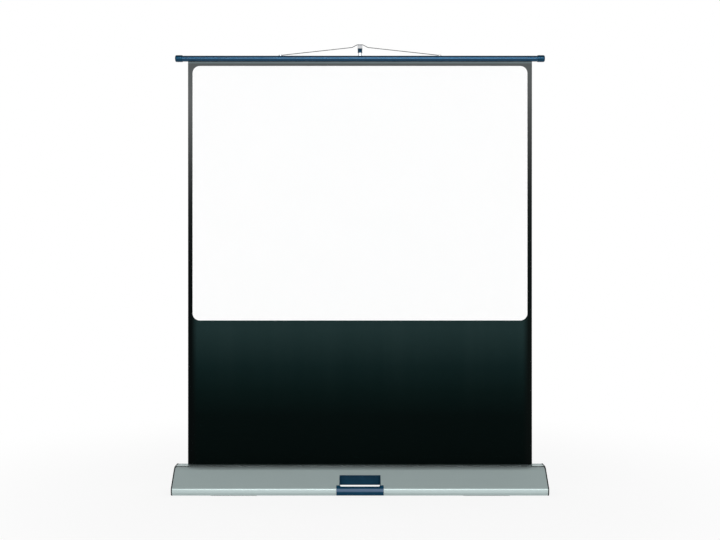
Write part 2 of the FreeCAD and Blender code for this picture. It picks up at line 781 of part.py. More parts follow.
# Top bar
def make_bar():
    """Slotted tube, its caps, and the strip and rod that hold the fabric's hem."""
    z = bar_height
    tube_length = bar_length - 2 * bar_cap_floor
    body = tube("bar_tube", bar_radius, bar_radius - bar_wall, tube_length, 0, 0, z,
                "YZ_Plane", True)
    slot = new_sketch(body, "YZ_Plane")
    slot_half = bar_slot / 2
    draw_polygon(slot, rectangle(-slot_half, -bar_radius - overrun, slot_half,
                                 -bar_radius + bar_wall + half_share * bar_wall))
    cut(body, slot, bar_length, symmetric=True)
    for name, side in (("left", -1), ("right", 1)):
        start = side * (bar_length / 2 - bar_cap_length)
        cap = new_body("bar_cap_" + name, start, 0, z)
        disc = new_sketch(cap, "YZ_Plane")
        draw_circle(disc, 0, 0, bar_cap_radius)
        extrude(cap, disc, bar_cap_length, backwards=side < 0)
        hollow = new_sketch(cap, "YZ_Plane")
        draw_circle(hollow, 0, 0, bar_radius + shaft_gap)
        cut(cap, hollow, bar_cap_length - bar_cap_floor, backwards=side > 0)
        rim = []
        for number, edge in enumerate(cap.Tip.Shape.Edges):
            outside = abs(edge.CenterOfMass.x) > (bar_cap_length - bar_cap_floor / 2).number
            if outside and len(edge.Vertexes) == 1:
                rim.append("Edge" + str(number + 1))
        soften(cap, rim, bar_cap_floor * half_share, "Chamfer")


def make_hem():
    """Keyed strip in the bar's slot that pinches the fabric, with the rod above it."""
    low = -bar_radius - bar_lip
    outer = bar_slot / 2 - seat_gap
    slit = strip_slit / 2
    shoulder = strip_shoulder / 2
    body = new_body("hem_strip", 0, 0, bar_height)
    sketch = new_sketch(body, "YZ_Plane")
    draw_polygon(sketch, [
        (-outer, low), (-slit, low), (-slit, -strip_slit_top), (slit, -strip_slit_top),
        (slit, low), (outer, low), (outer, -strip_shoulder_low),
        (shoulder, -strip_shoulder_low), (shoulder, -strip_top), (-shoulder, -strip_top),
        (-shoulder, -strip_shoulder_low), (-outer, -strip_shoulder_low),
    ])
    extrude(body, sketch, fabric_width, symmetric=True)
    tube("hem_rod", rod_radius, None, fabric_width, 0, 0,
         bar_height - strip_top + rod_radius + shaft_gap, "YZ_Plane", True)


def make_bail_eyes():
    """Lugs on the bar's crown that the bail's ends turn in."""
    for name, side in (("left", -1), ("right", 1)):
        body = new_body("bail_eye_" + name, side * eye_reach, 0, bar_height)
        sketch = new_sketch(body, "YZ_Plane")
        top = eye_rise + eye_half
        draw_polygon(sketch, rectangle(-eye_half, bar_radius, eye_half, top))
        extrude(body, sketch, eye_thick, symmetric=True)
        round_edges(body, [(-eye_half, top), (eye_half, top)], eye_half * 3 / 4)
        hole = new_sketch(body, "YZ_Plane")
        draw_circle(hole, 0, eye_rise, wire_radius + shaft_gap)
        cut(body, hole, 2 * eye_thick, symmetric=True)


def rounded_route(points, radius):
    """Straight runs joined by tangent arcs of one radius."""
    edges = []
    start = points[0]
    for i in range(1, len(points) - 1):
        into = (points[i] - points[i - 1]).normalize()
        out = (points[i + 1] - points[i]).normalize()
        turn = into.getAngle(out)
        reach = radius * math.tan(turn / 2)
        first = points[i] - into * reach
        last = points[i] + out * reach
        inward = (out - into).normalize()
        middle = points[i] + inward * (radius / math.cos(turn / 2) - radius)
        edges.append(Part.LineSegment(start, first).toShape())
        edges.append(Part.Arc(first, middle, last).toShape())
        start = last
    edges.append(Part.LineSegment(start, points[-1]).toShape())
    return Part.Wire(edges)


def make_bail():
    """One bent wire in three lengths: two legs with pivot stubs and knees, and the short top."""
    top_half = (hook_width / 2 + wire_radius / 2).number
    height = apex_rise.number
    radius = wire_radius.number
    leg_route = [
        Vector((eye_reach + wire_stub).number, 0, 0),
        Vector((eye_reach - eye_thick / 2 - wire_stub / 2).number, 0, 0),
        Vector(knee_reach.number, 0, knee_rise.number),
        Vector(apex_reach.number, 0, height),
        Vector(top_half, 0, height),
    ]
    top_route = [Vector(top_half, 0, height), Vector(-top_half, 0, height)]
    mirrored = [Vector(-point.x, point.y, point.z) for point in leg_route]
    lean = FreeCAD.Placement(Vector(0, 0, eye_height.number),
                             Rotation(Vector(1, 0, 0), -bail_lean_degrees))
    for label, points in (("bail_leg_left", mirrored), ("bail_leg_right", leg_route),
                          ("bail_top", top_route)):
        route = rounded_route(points, bend_radius.number)
        ring = Part.Wire(Part.makeCircle(radius, points[0], Vector(1, 0, 0)))
        swept = route.makePipeShell([ring], True, False)
        share = swept.Volume / (math.pi * radius ** 2 * route.Length)
        print(label, "volume over section times length:", round(share, 4))
        feature = doc.addObject("Part::Feature", label)
        feature.Label = label
        feature.Shape = swept
        feature.Placement = lean
        made[label] = feature


# Fabric
def make_fabric():
    """Black-backed sheet from the roller up to the hem, and the white picture on it."""
    top = bar_height - strip_slit_top - seat_gap
    sheet = new_body("screen_sheet", 0, fabric_thick / 2, 0)
    outline = new_sketch(sheet, "XZ_Plane")
    width = fabric_width / 2
    draw_polygon(outline, rectangle(-width, roller_height, width, top))
    extrude(sheet, outline, fabric_thick)
    picture = new_body("image_surface", 0, -fabric_thick / 2, 0)
    outline = new_sketch(picture, "XZ_Plane")
    side = image_width / 2
    image_top = image_bottom + image_height
    draw_polygon(outline, rectangle(-side, image_bottom, side, image_top))
    extrude(picture, outline, image_layer)
    corners = [(x, z) for x in (-side, side) for z in (image_bottom, image_top)]
    round_edges(picture, corners, image_corner, "xz")


# Feet
def make_feet():
    """Bars that swing out behind the casing, with a pivot boss and a rubber pad."""
    length = foot_pivot + foot_tip
    middle = foot_width / 2
    for name, side in (("left", -1), ("right", 1)):
        body = new_body("foot_" + name, side * foot_reach, -foot_pivot, foot_pad_height)
        sketch = new_sketch(body, "XY_Plane")
        draw_polygon(sketch, rectangle(-middle, -middle, middle, length))
        extrude(body, sketch, foot_height)
        corners = [(x, y) for x in (-middle, middle) for y in (-middle, length)]
        round_edges(body, corners, foot_width * 9 / 20, "xy")
        soften(body, upper_face(body), foot_chamfer, "Chamfer")
        boss = new_sketch(body, "XY_Plane", foot_height)
        draw_circle(boss, 0, 0, bolt_head_radius)
        extrude(body, boss, plate_height - foot_pad_height - foot_height - seat_gap)
        hole = new_sketch(body, "XY_Plane", -overrun)
        draw_circle(hole, 0, 0, bolt_radius + shaft_gap)
        cut(body, hole, plate_height + overrun, backwards=True)
        pad = new_body("foot_pad_" + name, side * foot_reach, -foot_pivot, 0)
        sketch = new_sketch(pad, "XY_Plane")
        pad_half = middle - foot_chamfer
        far = length - 3 * foot_chamfer
        draw_polygon(sketch, rectangle(-pad_half, far - foot_pad_length, pad_half, far))
        extrude(pad, sketch, foot_pad_height)
        ends = [(x, y) for x in (-pad_half, pad_half) for y in (far - foot_pad_length, far)]
        round_edges(pad, ends, pad_half / 2, "xy")


def upper_face(body):
    """The name of the body's highest flat face."""
    faces = body.Tip.Shape.Faces
    heights = [face.CenterOfMass.z for face in faces]
    return ["Face" + str(heights.index(max(heights)) + 1)]


def make_foot_bolts():
    """Shoulder bolts that the feet turn on, headed under the foot and on the base plate."""
    feature = doc.addObject("Part::Feature", "foot_bolts")
    feature.Label = "foot_bolts"
    bolts = []
    low = (foot_pad_height - seat_gap - bolt_head).number
    high = (plate_top + 2 * bolt_head).number
    for side in (-1, 1):
        base = Vector((side * foot_reach).number, -foot_pivot.number, low)
        head = Part.makeCylinder(bolt_head_radius.number, bolt_head.number, base)
        shank = Part.makeCylinder(bolt_radius.number, high - low, base)
        nut_base = Vector(base.x, base.y, plate_top.number)
        nut = Part.makeCylinder(bolt_head_radius.number, 2 * bolt_head.number, nut_base)
        bolts.append(shank.fuse([head, nut]).removeSplitter())
    feature.Shape = Part.makeCompound(bolts)
    feature.Placement = FreeCAD.Placement()
    made["foot_bolts"] = feature


def make_nose_pads():
    """Rubber strips under the floor flange."""
    feature = doc.addObject("Part::Feature", "nose_pads")
    feature.Label = "nose_pads"
    front = (case_front - toe_round).number
    depth = front - flange_reach.number
    pads = []
    for side in (-1, 1):
        start = side * nose_pad_place.number - nose_pad_length.number / 2
        corner = Vector(start, -front, 0)
        pads.append(Part.makeBox(nose_pad_length.number, depth, pad_height.number, corner))
    feature.Shape = Part.makeCompound(pads)
    feature.Placement = FreeCAD.Placement()
    made["nose_pads"] = feature


make_front_shell()
make_rear_shell()
make_top_cover()
make_slot_felts()
make_end_caps()
make_screws()
make_handle_tray()
make_handle_grip()
make_brackets()
make_roller()
make_mast_socket()
make_mast()
make_lock_collar("lower_lock_collar", outer_radius, middle_radius, outer_top)
make_lock_collar("upper_lock_collar", middle_radius, inner_radius, middle_top)
make_mast_head()
make_bar()
make_hem()
make_bail_eyes()
make_bail()
make_fabric()
make_feet()
make_foot_bolts()
make_nose_pads()
doc.recompute()

for thing in doc.Objects:
    if "Invalid" in thing.State or "Error" in thing.State:
        raise ValueError(thing.Name + " is " + ", ".join(thing.State))
for label, thing in made.items():
    if thing.Shape.isNull() or not thing.Shape.isValid() or not thing.Shape.Solids:
        raise ValueError(label + " has no valid solid")
for label, thing in made.items():
    thing.Shape.exportStep("parts/" + label + ".step")
print(len(made), "pieces written")
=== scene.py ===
# %% [markdown]
# # Dressing a portable projection screen
# The object is a floor screen that is pulled up out of an aluminium casing and
# held by a telescoping mast behind it. Its rigid parts come in as a packed
# model that is already in place, in metres, with the floor at Z = 0 and the
# cloth in the plane Y = 0. This script gives those parts their finishes and
# makes the pieces that the plain model only stands in for: the cloth, the wire,
# the mouldings with soft edges and the screws.

import json
import math

import bmesh
import bpy
from mathutils import Matrix, Vector


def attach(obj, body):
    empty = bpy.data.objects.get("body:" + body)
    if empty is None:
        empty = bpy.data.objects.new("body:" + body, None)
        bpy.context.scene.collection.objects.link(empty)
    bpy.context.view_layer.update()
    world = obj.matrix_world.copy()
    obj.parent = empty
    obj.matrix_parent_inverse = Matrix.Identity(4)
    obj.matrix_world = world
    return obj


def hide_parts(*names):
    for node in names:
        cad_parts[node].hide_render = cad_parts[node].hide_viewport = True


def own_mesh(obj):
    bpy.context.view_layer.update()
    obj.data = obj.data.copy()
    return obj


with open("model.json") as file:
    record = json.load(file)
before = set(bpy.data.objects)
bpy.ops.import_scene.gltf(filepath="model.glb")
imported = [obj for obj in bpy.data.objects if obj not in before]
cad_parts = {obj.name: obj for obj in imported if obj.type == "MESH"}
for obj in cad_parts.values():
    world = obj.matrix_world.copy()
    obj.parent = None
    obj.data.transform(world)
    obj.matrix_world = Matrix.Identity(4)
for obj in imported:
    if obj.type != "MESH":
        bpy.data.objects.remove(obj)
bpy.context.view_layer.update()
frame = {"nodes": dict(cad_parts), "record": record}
scene = bpy.context.scene
MM = 0.001

# %% [markdown]
# ## Camera
# The cloth is as wide at its bottom as at its top in the photograph, so the
# camera stands level. It could be fitted by eye, but its place follows from
# the cloth: 4.5 m in front of it, just under a metre high, with a lens that
# puts the picture's 1500 mm on 334 of the 720 pixels.

# %% Place the camera
camera = bpy.data.objects.new("camera", bpy.data.cameras.new("camera"))
camera.data.sensor_width = 36
camera.data.lens = 50.22
camera.location = (0, -4.5, 0.9825)
camera.rotation_euler = (math.radians(90), 0, 0)
scene.collection.objects.link(camera)
scene.camera = camera
scene.view_settings.view_transform = "Standard"
print("camera:", tuple(camera.location), "lens", camera.data.lens)

# %% [markdown]
# ## Shader arithmetic
# A finish is a small sum of patterns. Written with the node editor's own calls
# each plus sign takes four lines, so one class wraps a socket and gives it the
# signs of ordinary arithmetic, and one method makes any other node. With these
# two, a material reads as a few lines of what it looks like.

# %% Wrap a socket so that it can be added and multiplied
class Field:
    """A number that varies over a surface: one output socket of a node tree."""

    def __init__(self, graph, socket):
        self.graph, self.socket = graph, socket

    def join(self, operation, *values):
        """Make the Math node for one operation on these values."""
        inputs = dict(enumerate(values))
        return self.graph.node("Math", {"operation": operation}, inputs)

    def __add__(self, other):
        return self.join("ADD", self, other)

    def __sub__(self, other):
        return self.join("SUBTRACT", self, other)

    def __rsub__(self, other):
        return self.join("SUBTRACT", other, self)

    def __mul__(self, other):
        return self.join("MULTIPLY", self, other)

    __radd__, __rmul__ = __add__, __mul__

    def step(self, start, end):
        """Rise smoothly from 0 at start to 1 at end, or fall where end is lower."""
        low, high, first, last = start, end, 0, 1
        if end < start:
            low, high, first, last = end, start, 1, 0
        sockets = {0: self, 1: low, 2: high, 3: first, 4: last}
        settings = {"interpolation_type": "SMOOTHSTEP"}
        return self.graph.node("MapRange", settings, sockets)

    def at_most(self, other):
        return self.join("MINIMUM", self, other)

    def at_least(self, other):
        return self.join("MAXIMUM", self, other)


# %% Make any node in one call
class Graph:
    """A node tree with one method that makes any node."""

    def __init__(self, tree):
        self.tree = tree
        tree.nodes.clear()

    def plug(self, made, values):
        """Give a node's sockets their values or links."""
        for name, value in values.items():
            if isinstance(value, Field):
                self.tree.links.new(value.socket, made.inputs[name])
            else:
                made.inputs[name].default_value = value

    def node(self, kind, settings=None, inputs=None, output=0):
        """Make a shader node, set it up, feed its sockets and give one output."""
        made = self.tree.nodes.new("ShaderNode" + kind)
        for name, value in (settings or {}).items():
            if name == "stops":
                ramp = made.color_ramp.elements
                while len(ramp) < len(value):
                    ramp.new(0.5)
                for element, (position, colour) in zip(ramp, value):
                    element.position, element.color = position, colour
            else:
                setattr(made, name, value)
        self.plug(made, inputs or {})
        return Field(self, made.outputs[output])

    def mix(self, mask, first, second):
        """Blend two colours by a mask."""
        sockets = {0: mask, 6: first, 7: second}
        return self.node("Mix", {"data_type": "RGBA"}, sockets, 2)

    def place(self):
        """Where a point of the surface lies, in metres."""
        return self.node("TexCoord", output="Object")

    def noise(self, scale, stretch=(1, 1, 1), detail=3.0, rough=0.5):
        """Cloudy or grainy noise from 0 to 1, finer along a stretched axis."""
        placed = {"Vector": self.place(), "Scale": stretch}
        spot = self.node("Mapping", {}, placed)
        sockets = {"Vector": spot, "Scale": scale, "Detail": detail, "Roughness": rough}
        return self.node("TexNoise", {}, sockets)

    def cells(self, scale):
        """Distance to the nearest of many scattered points."""
        sockets = {"Vector": self.place(), "Scale": scale}
        return self.node("TexVoronoi", {}, sockets)

    def end(self, kind, surface):
        """Join the last node to the tree's output."""
        last = self.tree.nodes.new("ShaderNodeOutput" + kind)
        self.tree.links.new(surface.socket, last.inputs["Surface"])

    def axis(self, letter, coordinate="Object"):
        """One coordinate on its own."""
        spot = self.node("TexCoord", output=coordinate)
        return self.node("SeparateXYZ", {}, {0: spot}, letter)


print("shader arithmetic ready")

# %% [markdown]
# ## Floor and light
# The photograph is a cut-out on white, lit like a catalogue picture: soft light
# from everywhere, and a greyer ceiling that the sloping front mirrors. The
# background could be made white with strong lamps, but they would bleach the
# object. The world is white only where the camera, a reflection or clear
# material looks at it, and lights the object at a plain level. The floor is
# nearly white in the same way, and keeps a little of the object's shadow, which
# fades out around it. Two lamps hang on the camera's side: a low, soft sun,
# whose reflection is the stripe along the bar, and a long window of light that
# draws the bright line along the casing's nose.

# %% Light the world
studio = bpy.data.worlds.new("studio")
scene.world = studio
studio.use_nodes = True
sky = Graph(studio.node_tree)


def looked_at(graph):
    """1 for rays from the camera, off a mirror or through clear material."""
    rays = [
        graph.node("LightPath", output=name)
        for name in ("Is Camera Ray", "Is Glossy Ray", "Is Transmission Ray")
    ]
    return rays[0].at_least(rays[1]).at_least(rays[2])


def grey(level):
    """A grey of this strength, where 1 is white."""
    return (level, level, level, 1)


CEILING_LIGHT, WORLD_LIGHT, CEILING_EDGE = 0.48, 0.62, (0.33, 0.85)
height = sky.axis("Z", "Generated")
backdrop = sky.mix(height.step(*CEILING_EDGE), grey(1), grey(CEILING_LIGHT))
shown = sky.mix(looked_at(sky), grey(WORLD_LIGHT), backdrop)
light = sky.node("Background", {}, {"Color": shown, "Strength": 1.0})
sky.end("World", light)
print("world lights the object at", WORLD_LIGHT)

# %% Lay the floor
FLOOR_RADIUS, FLOOR_GREY, FLOOR_SHADE = 40, 0.93, 0.15
FADE_START, FADE_END = 0.9, 2.6
floor_mesh = bpy.data.meshes.new("floor")
disc = bmesh.new()
bmesh.ops.create_circle(disc, cap_ends=True, segments=64, radius=FLOOR_RADIUS)
disc.to_mesh(floor_mesh)
disc.free()
floor = bpy.data.objects.new("floor", floor_mesh)
scene.collection.objects.link(floor)

floor_finish = bpy.data.materials.new("floor")
floor_finish.use_nodes = True
ground = Graph(floor_finish.node_tree)
matt = ground.node("BsdfDiffuse", {}, {"Color": grey(FLOOR_GREY)})
white = ground.node("Emission", {}, {"Color": grey(1), "Strength": 1})
away = ground.node("VectorMath", {"operation": "LENGTH"}, {0: ground.place()}, 1)
plain_white = away.step(FADE_START, FADE_END) * FLOOR_SHADE + (1 - FLOOR_SHADE)
share = looked_at(ground) * plain_white
surface = ground.node("MixShader", {}, {0: share, 1: matt, 2: white})
ground.end("Material", surface)
floor_mesh.materials.append(floor_finish)
print("floor laid, its shadow fades from", FADE_START, "to", FADE_END, "m")

# %% Hang the lamps
def hang_lamp(name, kind, place, target, strength, **settings):
    """Hang a lamp at a place, aim it at a target and hide it from the camera."""
    lamp = bpy.data.lights.new(name, kind)
    lamp.energy = strength
    for key, value in settings.items():
        setattr(lamp, key, value)
    lamp_object = bpy.data.objects.new(name, lamp)
    aim = Vector(target) - Vector(place)
    lamp_object.rotation_euler = aim.to_track_quat("-Z", "Y").to_euler()
    lamp_object.location = place
    lamp_object.visible_camera = False
    scene.collection.objects.link(lamp_object)
    print(name, "hung at", place, "with strength", strength)


hang_lamp("sun", "SUN", (0.1, -3.5, 1.5), (0, 0, 0.6), 0.94, angle=math.radians(24))
hang_lamp(
    "window", "AREA", (0, -14, 1.1), (0, 0, 1.1), 230,
    shape="RECTANGLE", size=16, size_y=1.1,
)

# %% [markdown]
# ## Finishes
# Every finish starts from the same shader, and is named after the slot of the
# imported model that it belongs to. Colours were matched to the photograph where
# it shows the part. They are written as a screen shows them, 0 to 255, and
# turned into the shader's own numbers. The patterns have real sizes, because
# Object coordinates are metres: a grain of 0.3 mm needs a scale of about 3000.

# %% Start a finish
class Finish(Graph):
    """A material with one Principled shader and its patterns."""

    def __init__(self, slot, constants):
        finishes[slot] = bpy.data.materials.new(slot)
        finishes[slot].use_nodes = True
        super().__init__(finishes[slot].node_tree)
        surface = self.node("BsdfPrincipled", {}, constants)
        self.shader = surface.socket.node
        self.end("Material", surface)

    def feed(self, values):
        """Give the shader's sockets their patterns."""
        self.plug(self.shader, values)

    def wear(self, colour, roughness, relief, depth, strength=0.5):
        """Feed the patterns that every finish has. The relief's depth is in mm."""
        bump = {"Height": relief, "Distance": depth * MM, "Strength": strength}
        normal = self.node("Bump", {}, bump)
        self.feed({"Base Color": colour, "Roughness": roughness, "Normal": normal})


finishes = {}


def tone(red, green, blue):
    """A colour as a screen shows it, in the shader's linear numbers."""
    linear = []
    for part in (red, green, blue):
        part = part / 255
        linear.append(part / 12.92 if part <= 0.04045 else ((part + 0.055) / 1.055) ** 2.4)
    return (*linear, 1)


print("finish helper ready")

# %% [markdown]
# ### Metals
# The casing is bent from satin anodised sheet, whose thick oxide hides half of
# the metal's mirror; the flat cover on top is barer and brighter. The die lines
# run lengthwise, so the noise is stretched along X until it is nearly a line. A
# soft cloudy noise makes the sheen uneven, as hands and cloths do, and a sparse
# one leaves short scuffs. A flat grey would show none of this in moving light.

# %% Finish the sheet metals
SLOPE_TOP, COVER_UNDERSIDE = 0.1105, 0.1120


def lengthwise_metal(slot, colour, roughness, scuff_colour, line_scale, metallic=1.0):
    """Sheet or extruded metal with lines along X."""
    metal = Finish(slot, {"Metallic": metallic})
    if metallic < 1:
        cover = metal.axis("Z").step(SLOPE_TOP, COVER_UNDERSIDE)
        metal.feed({"Metallic": cover * (1 - metallic) + metallic})
    lines = metal.noise(1.0, (1.5, line_scale, line_scale), detail=2)
    clouds = metal.noise(6.0, (0.4, 1, 1), detail=4)
    scuffs = metal.noise(26.0, (1, 5, 5), detail=5, rough=0.7).step(0.64, 0.72)
    worn = metal.mix(scuffs * 0.35, colour, scuff_colour)
    shade = metal.mix(lines * 0.16 + clouds * 0.12, worn, tone(120, 126, 126))
    metal.wear(
        colour=shade,
        roughness=clouds * 0.14 + lines * 0.06 + scuffs * 0.12 + roughness,
        relief=lines + scuffs * 0.4, depth=0.04,
    )


lengthwise_metal(
    "silver_anodised", tone(172, 187, 186), 0.3, tone(204, 213, 212), 2200, metallic=0.52
)
lengthwise_metal("raw_aluminium", tone(214, 215, 217), 0.3, tone(170, 172, 175), 900)
print("sheet metals:", [name for name in finishes])

# %% [markdown]
# Zinc plate on the small steel parts is a little blue and straw coloured where
# it is thin. The mast is plated until it mirrors, with fine rings where the
# locks turn on it and long hairlines where the tubes slide. The bail is drawn
# wire, dull and slightly ringed by the coiler.

# %% Finish the plated and drawn steel
zinc = Finish("zinc_steel", {"Metallic": 1.0})
patches = zinc.cells(420.0)
tint = zinc.noise(60.0, detail=2)
plate = zinc.mix(tint.step(0.4, 0.65), tone(196, 200, 206), tone(208, 203, 186))
zinc.wear(
    colour=zinc.mix(patches * 0.5, plate, tone(150, 152, 156)),
    roughness=patches * 0.25 + 0.22,
    relief=zinc.noise(1600.0, detail=2), depth=0.03,
)

plated = Finish("bright_steel", {"Metallic": 1.0})
hairlines = plated.noise(1.0, (3000, 3000, 4), detail=2)
rings = plated.noise(1.0, (30, 30, 1800), detail=2)
rubbed = plated.noise(14.0, (1, 1, 0.2), detail=3).step(0.45, 0.7)
plated.wear(
    colour=plated.mix(rubbed * 0.4, tone(196, 199, 203), tone(160, 163, 167)),
    roughness=rubbed * 0.14 + hairlines * 0.06 + 0.1,
    relief=hairlines + rings * 0.6, depth=0.02, strength=0.35,
)

wire = Finish("spring_wire", {"Metallic": 1.0})
drawn = wire.noise(1.0, (900, 60, 900), detail=3)
wire.wear(
    colour=wire.mix(drawn, tone(46, 48, 50), tone(84, 86, 88)),
    roughness=drawn * 0.2 + 0.28,
    relief=drawn, depth=0.03, strength=0.6,
)
print("plated steel ready")

# %% [markdown]
# ### Paint
# Powder coat sets with a faint orange peel, a ripple about 1 mm across that
# breaks up its reflections. The navy of the bar is full of metal flake under a
# clear glossy skin, so it mirrors the room in dark blue; the black feet have no
# flake, are duller, and are greyer where they are kicked. Long faint rubs along
# the bar come from the hands that pull it up.

# %% Finish the painted parts
def painted(slot, colour, rub_colour, roughness, gloss, peel, rub_share, flake):
    """Powder coat with orange peel and rubbed places."""
    constants = {"Coat Roughness": 0.07, "Coat Weight": gloss, "Metallic": flake}
    coat = Finish(slot, constants)
    ripple = coat.noise(peel, detail=2, rough=0.4)
    rubs = coat.noise(9.0, (0.5, 4, 4), detail=5, rough=0.65).step(0.52, 0.74)
    chips = coat.noise(260.0, detail=3).step(0.72, 0.76)
    faded = coat.mix(rubs * rub_share, colour, rub_colour)
    coat.wear(
        colour=coat.mix(chips * 0.3, faded, rub_colour),
        roughness=ripple * 0.08 + rubs * 0.16 + roughness,
        relief=ripple - chips * 0.5, depth=0.015,
    )


painted("navy_paint", tone(0, 56, 84), tone(8, 68, 98), 0.17, 0.4, 850, 0.25, 0.85)
painted("black_steel", tone(30, 31, 32), tone(78, 80, 82), 0.42, 0.1, 650, 0.5, 0.0)
print("paints ready")

# %% [markdown]
# ### Mouldings
# Injection moulded parts take the spark-eroded grain of their tool, a field of
# pits about 0.3 mm across. Cells with a little noise give that grain. What
# differs from part to part is the colour, the gloss and how far handling has
# polished the high spots. Two things depend on where a navy part lies, so its
# coordinates pick them out: on the grip a paler band along the nose is a
# painted highlight, and the caps and the collar up at the bar share the bar's
# flake and skin. The hem strip's slate blue-black is painted shade under the
# bar and a painted reflection of the bar's blue.

# %% Finish the moulded parts
# The grip's painted highlight band lies in front of the nose, between two heights.
NOSE_FRONT, HIGHLIGHT_BAND_LOW, HIGHLIGHT_BAND_HIGH = (-0.134, -0.142), (0.017, 0.025), (0.0365, 0.0305)
BAR_LEVEL = (1.0, 1.1)


def moulded(slot, colour, handled_colour, roughness, grain, shine=0.5, highlight_band_colour=None):
    """Moulded plastic with the grain of its tool and, if given its colour, a painted
    highlight band along the grip's nose.
    """
    plastic = Finish(slot, {"IOR": 1.49, "Specular IOR Level": shine})
    pits = plastic.cells(grain)
    handled = plastic.noise(22.0, detail=4, rough=0.6).step(0.45, 0.75)
    specks = plastic.noise(900.0, detail=2).step(0.66, 0.8)
    shade = plastic.mix(handled * 0.4 + specks * 0.2, colour, handled_colour)
    if highlight_band_colour:
        up, front = plastic.axis("Z"), plastic.axis("Y").step(*NOSE_FRONT)
        # The band along the grip's nose is a painted highlight.
        band = up.step(*HIGHLIGHT_BAND_LOW) * up.step(*HIGHLIGHT_BAND_HIGH) * front
        shade = plastic.mix(band, shade, highlight_band_colour)
        on_bar = up.step(*BAR_LEVEL)
        plastic.feed({"Metallic": on_bar * 0.85, "Coat Weight": on_bar * 0.25})
        roughness = roughness - on_bar * 0.08
    plastic.wear(
        colour=shade,
        roughness=roughness - handled * 0.1 + pits * 0.2,
        relief=pits + specks * 0.3, depth=0.06,
    )


moulded("grey_plastic", tone(24, 29, 29), tone(48, 52, 52), 0.42, 2600, 0.35)
moulded("black_plastic", tone(24, 25, 27), tone(46, 47, 49), 0.4, 2400)
# Its last colour is the grip's painted highlight band.
moulded(
    "navy_plastic", tone(2, 52, 76), tone(14, 66, 92), 0.3, 2800, 0.1, tone(86, 108, 134)
)
moulded("grey_hook", tone(192, 194, 197), tone(212, 213, 214), 0.42, 2400)
# The hem strip's blue-black is painted shade under the bar and a painted reflection of the
# bar's blue.
moulded("black_hem", tone(26, 46, 56), tone(40, 60, 70), 0.4, 1800)
print("mouldings ready")

# %% [markdown]
# ### Rubber and felt
# Rubber is dull and picks up pale dust in its low places. Felt has no gloss at
# all: its loose fibres catch the light edge on, which the shader's sheen does,
# and clumps of fibre make its surface uneven.

# %% Finish the rubber and the felt
rubber = Finish("black_rubber", {"Specular IOR Level": 0.35})
speckle = rubber.noise(1300.0, detail=3)
dust = rubber.noise(48.0, detail=5, rough=0.7).step(0.5, 0.8)
rubber.wear(
    colour=rubber.mix(dust * 0.35, tone(26, 27, 28), tone(92, 91, 88)),
    roughness=dust * 0.15 + 0.68,
    relief=speckle, depth=0.08, strength=0.6,
)

felt = Finish("black_felt", {"Sheen Weight": 0.6, "Sheen Roughness": 0.5})
clumps = felt.noise(380.0, detail=4, rough=0.7)
fibres = felt.noise(1.0, (700, 2600, 2600), detail=3)
felt.wear(
    colour=felt.mix(clumps, tone(14, 15, 16), tone(44, 45, 47)),
    roughness=clumps * 0.1 + 0.88,
    relief=clumps + fibres * 0.7, depth=0.25, strength=0.8,
)
print("rubber and felt ready")

# %% [markdown]
# ### Cloth
# The sheet is a woven base with a black coating, and the picture area is
# coated white on top. Both keep a trace of the weave: two sets of waves at
# right angles, 0.9 mm apart. The bands of the wave node repeat every 0.314 of
# a metre at a scale of 1. The patterns read the cloth's own UV map, in metres
# of flat cloth, so they stay on the cloth when it is let down. The
# photograph shows the border beside the picture grey, paler towards the bar,
# with a pale line along the hem, and the black below the picture deep and
# even, a little paler where it starts. That paleness is painted glare of
# light from above, and the pale line is a painted highlight on the hem. Two
# ramps along the cloth's length hold these shades, which were set by
# measuring the photograph and the render up the cloth. The back is bare black
# all over, so a mask made from the surface's own direction tells it apart.

# %% Weave both cloths
CLOTH_WIDTH, CLOTH_LENGTH, THREAD_PITCH = 1.541, 1.850, 0.0009
BAND_PERIOD = 0.314


class Cloth(Finish):
    """A finish whose patterns lie on the cloth's own map, in metres of flat cloth."""

    def place(self):
        """Where a point of the flat cloth lies."""
        return self.node("UVMap", {"uv_map": "flat"})

    def along(self, letter):
        """How far along the flat cloth a point lies."""
        return self.node("SeparateXYZ", {}, {0: self.place()}, letter)

    def shades(self, share, *stops):
        """Shades along a share of the cloth. Each stop is a place and its colour."""
        ramp = [(place, tone(*colour)) for place, *colour in stops]
        return self.node("ValToRGB", {"stops": ramp}, {0: share})

    def weave(self):
        """Two crossed sets of threads, as one height from 0 to 1."""
        threads = []
        for direction in ("X", "Y"):
            settings = {"wave_type": "BANDS", "bands_direction": direction}
            scale = BAND_PERIOD / THREAD_PITCH
            sockets = {"Vector": self.place(), "Scale": scale, "Distortion": 0.4}
            threads.append(self.node("TexWave", settings, sockets, 1))
        return threads[0] * 0.5 + threads[1] * 0.5


print("threads every", THREAD_PITCH / MM, "mm")

# %% Coat the cloth black
BORDER, PICTURE_FOOT = (0.045, 0.012), (0.68, 0.72)
RIGHT_HALF, TOWARDS_BAR = (0.8, 1.45), (1.86, 1.6)
black = Cloth("black_fabric", {"Specular IOR Level": 0.02})
threads = black.weave()
up, across = black.along("Y"), black.along("X")
from_edge = across.at_most(CLOTH_WIDTH - across)
streaks = black.noise(1.0, (9, 0.3, 1), 3)
handling = black.noise(3.0, (1, 1, 1), 5)
share = up * (1 / CLOTH_LENGTH)
# The border's ramp: the grey that gets paler towards the bar is painted glare of light
# from above, and its last stops are a painted highlight along the hem.
painted_border_glare = black.shades(
    share, (0.00, 3, 6, 6), (0.40, 4, 8, 8), (0.52, 10, 13, 13), (0.59, 19, 22, 22),
    (0.66, 33, 36, 36), (0.74, 57, 59, 59), (0.83, 82, 84, 84), (0.90, 97, 99, 99),
    (0.994, 90, 94, 94), (0.995, 116, 130, 132), (1.00, 116, 130, 132),
)
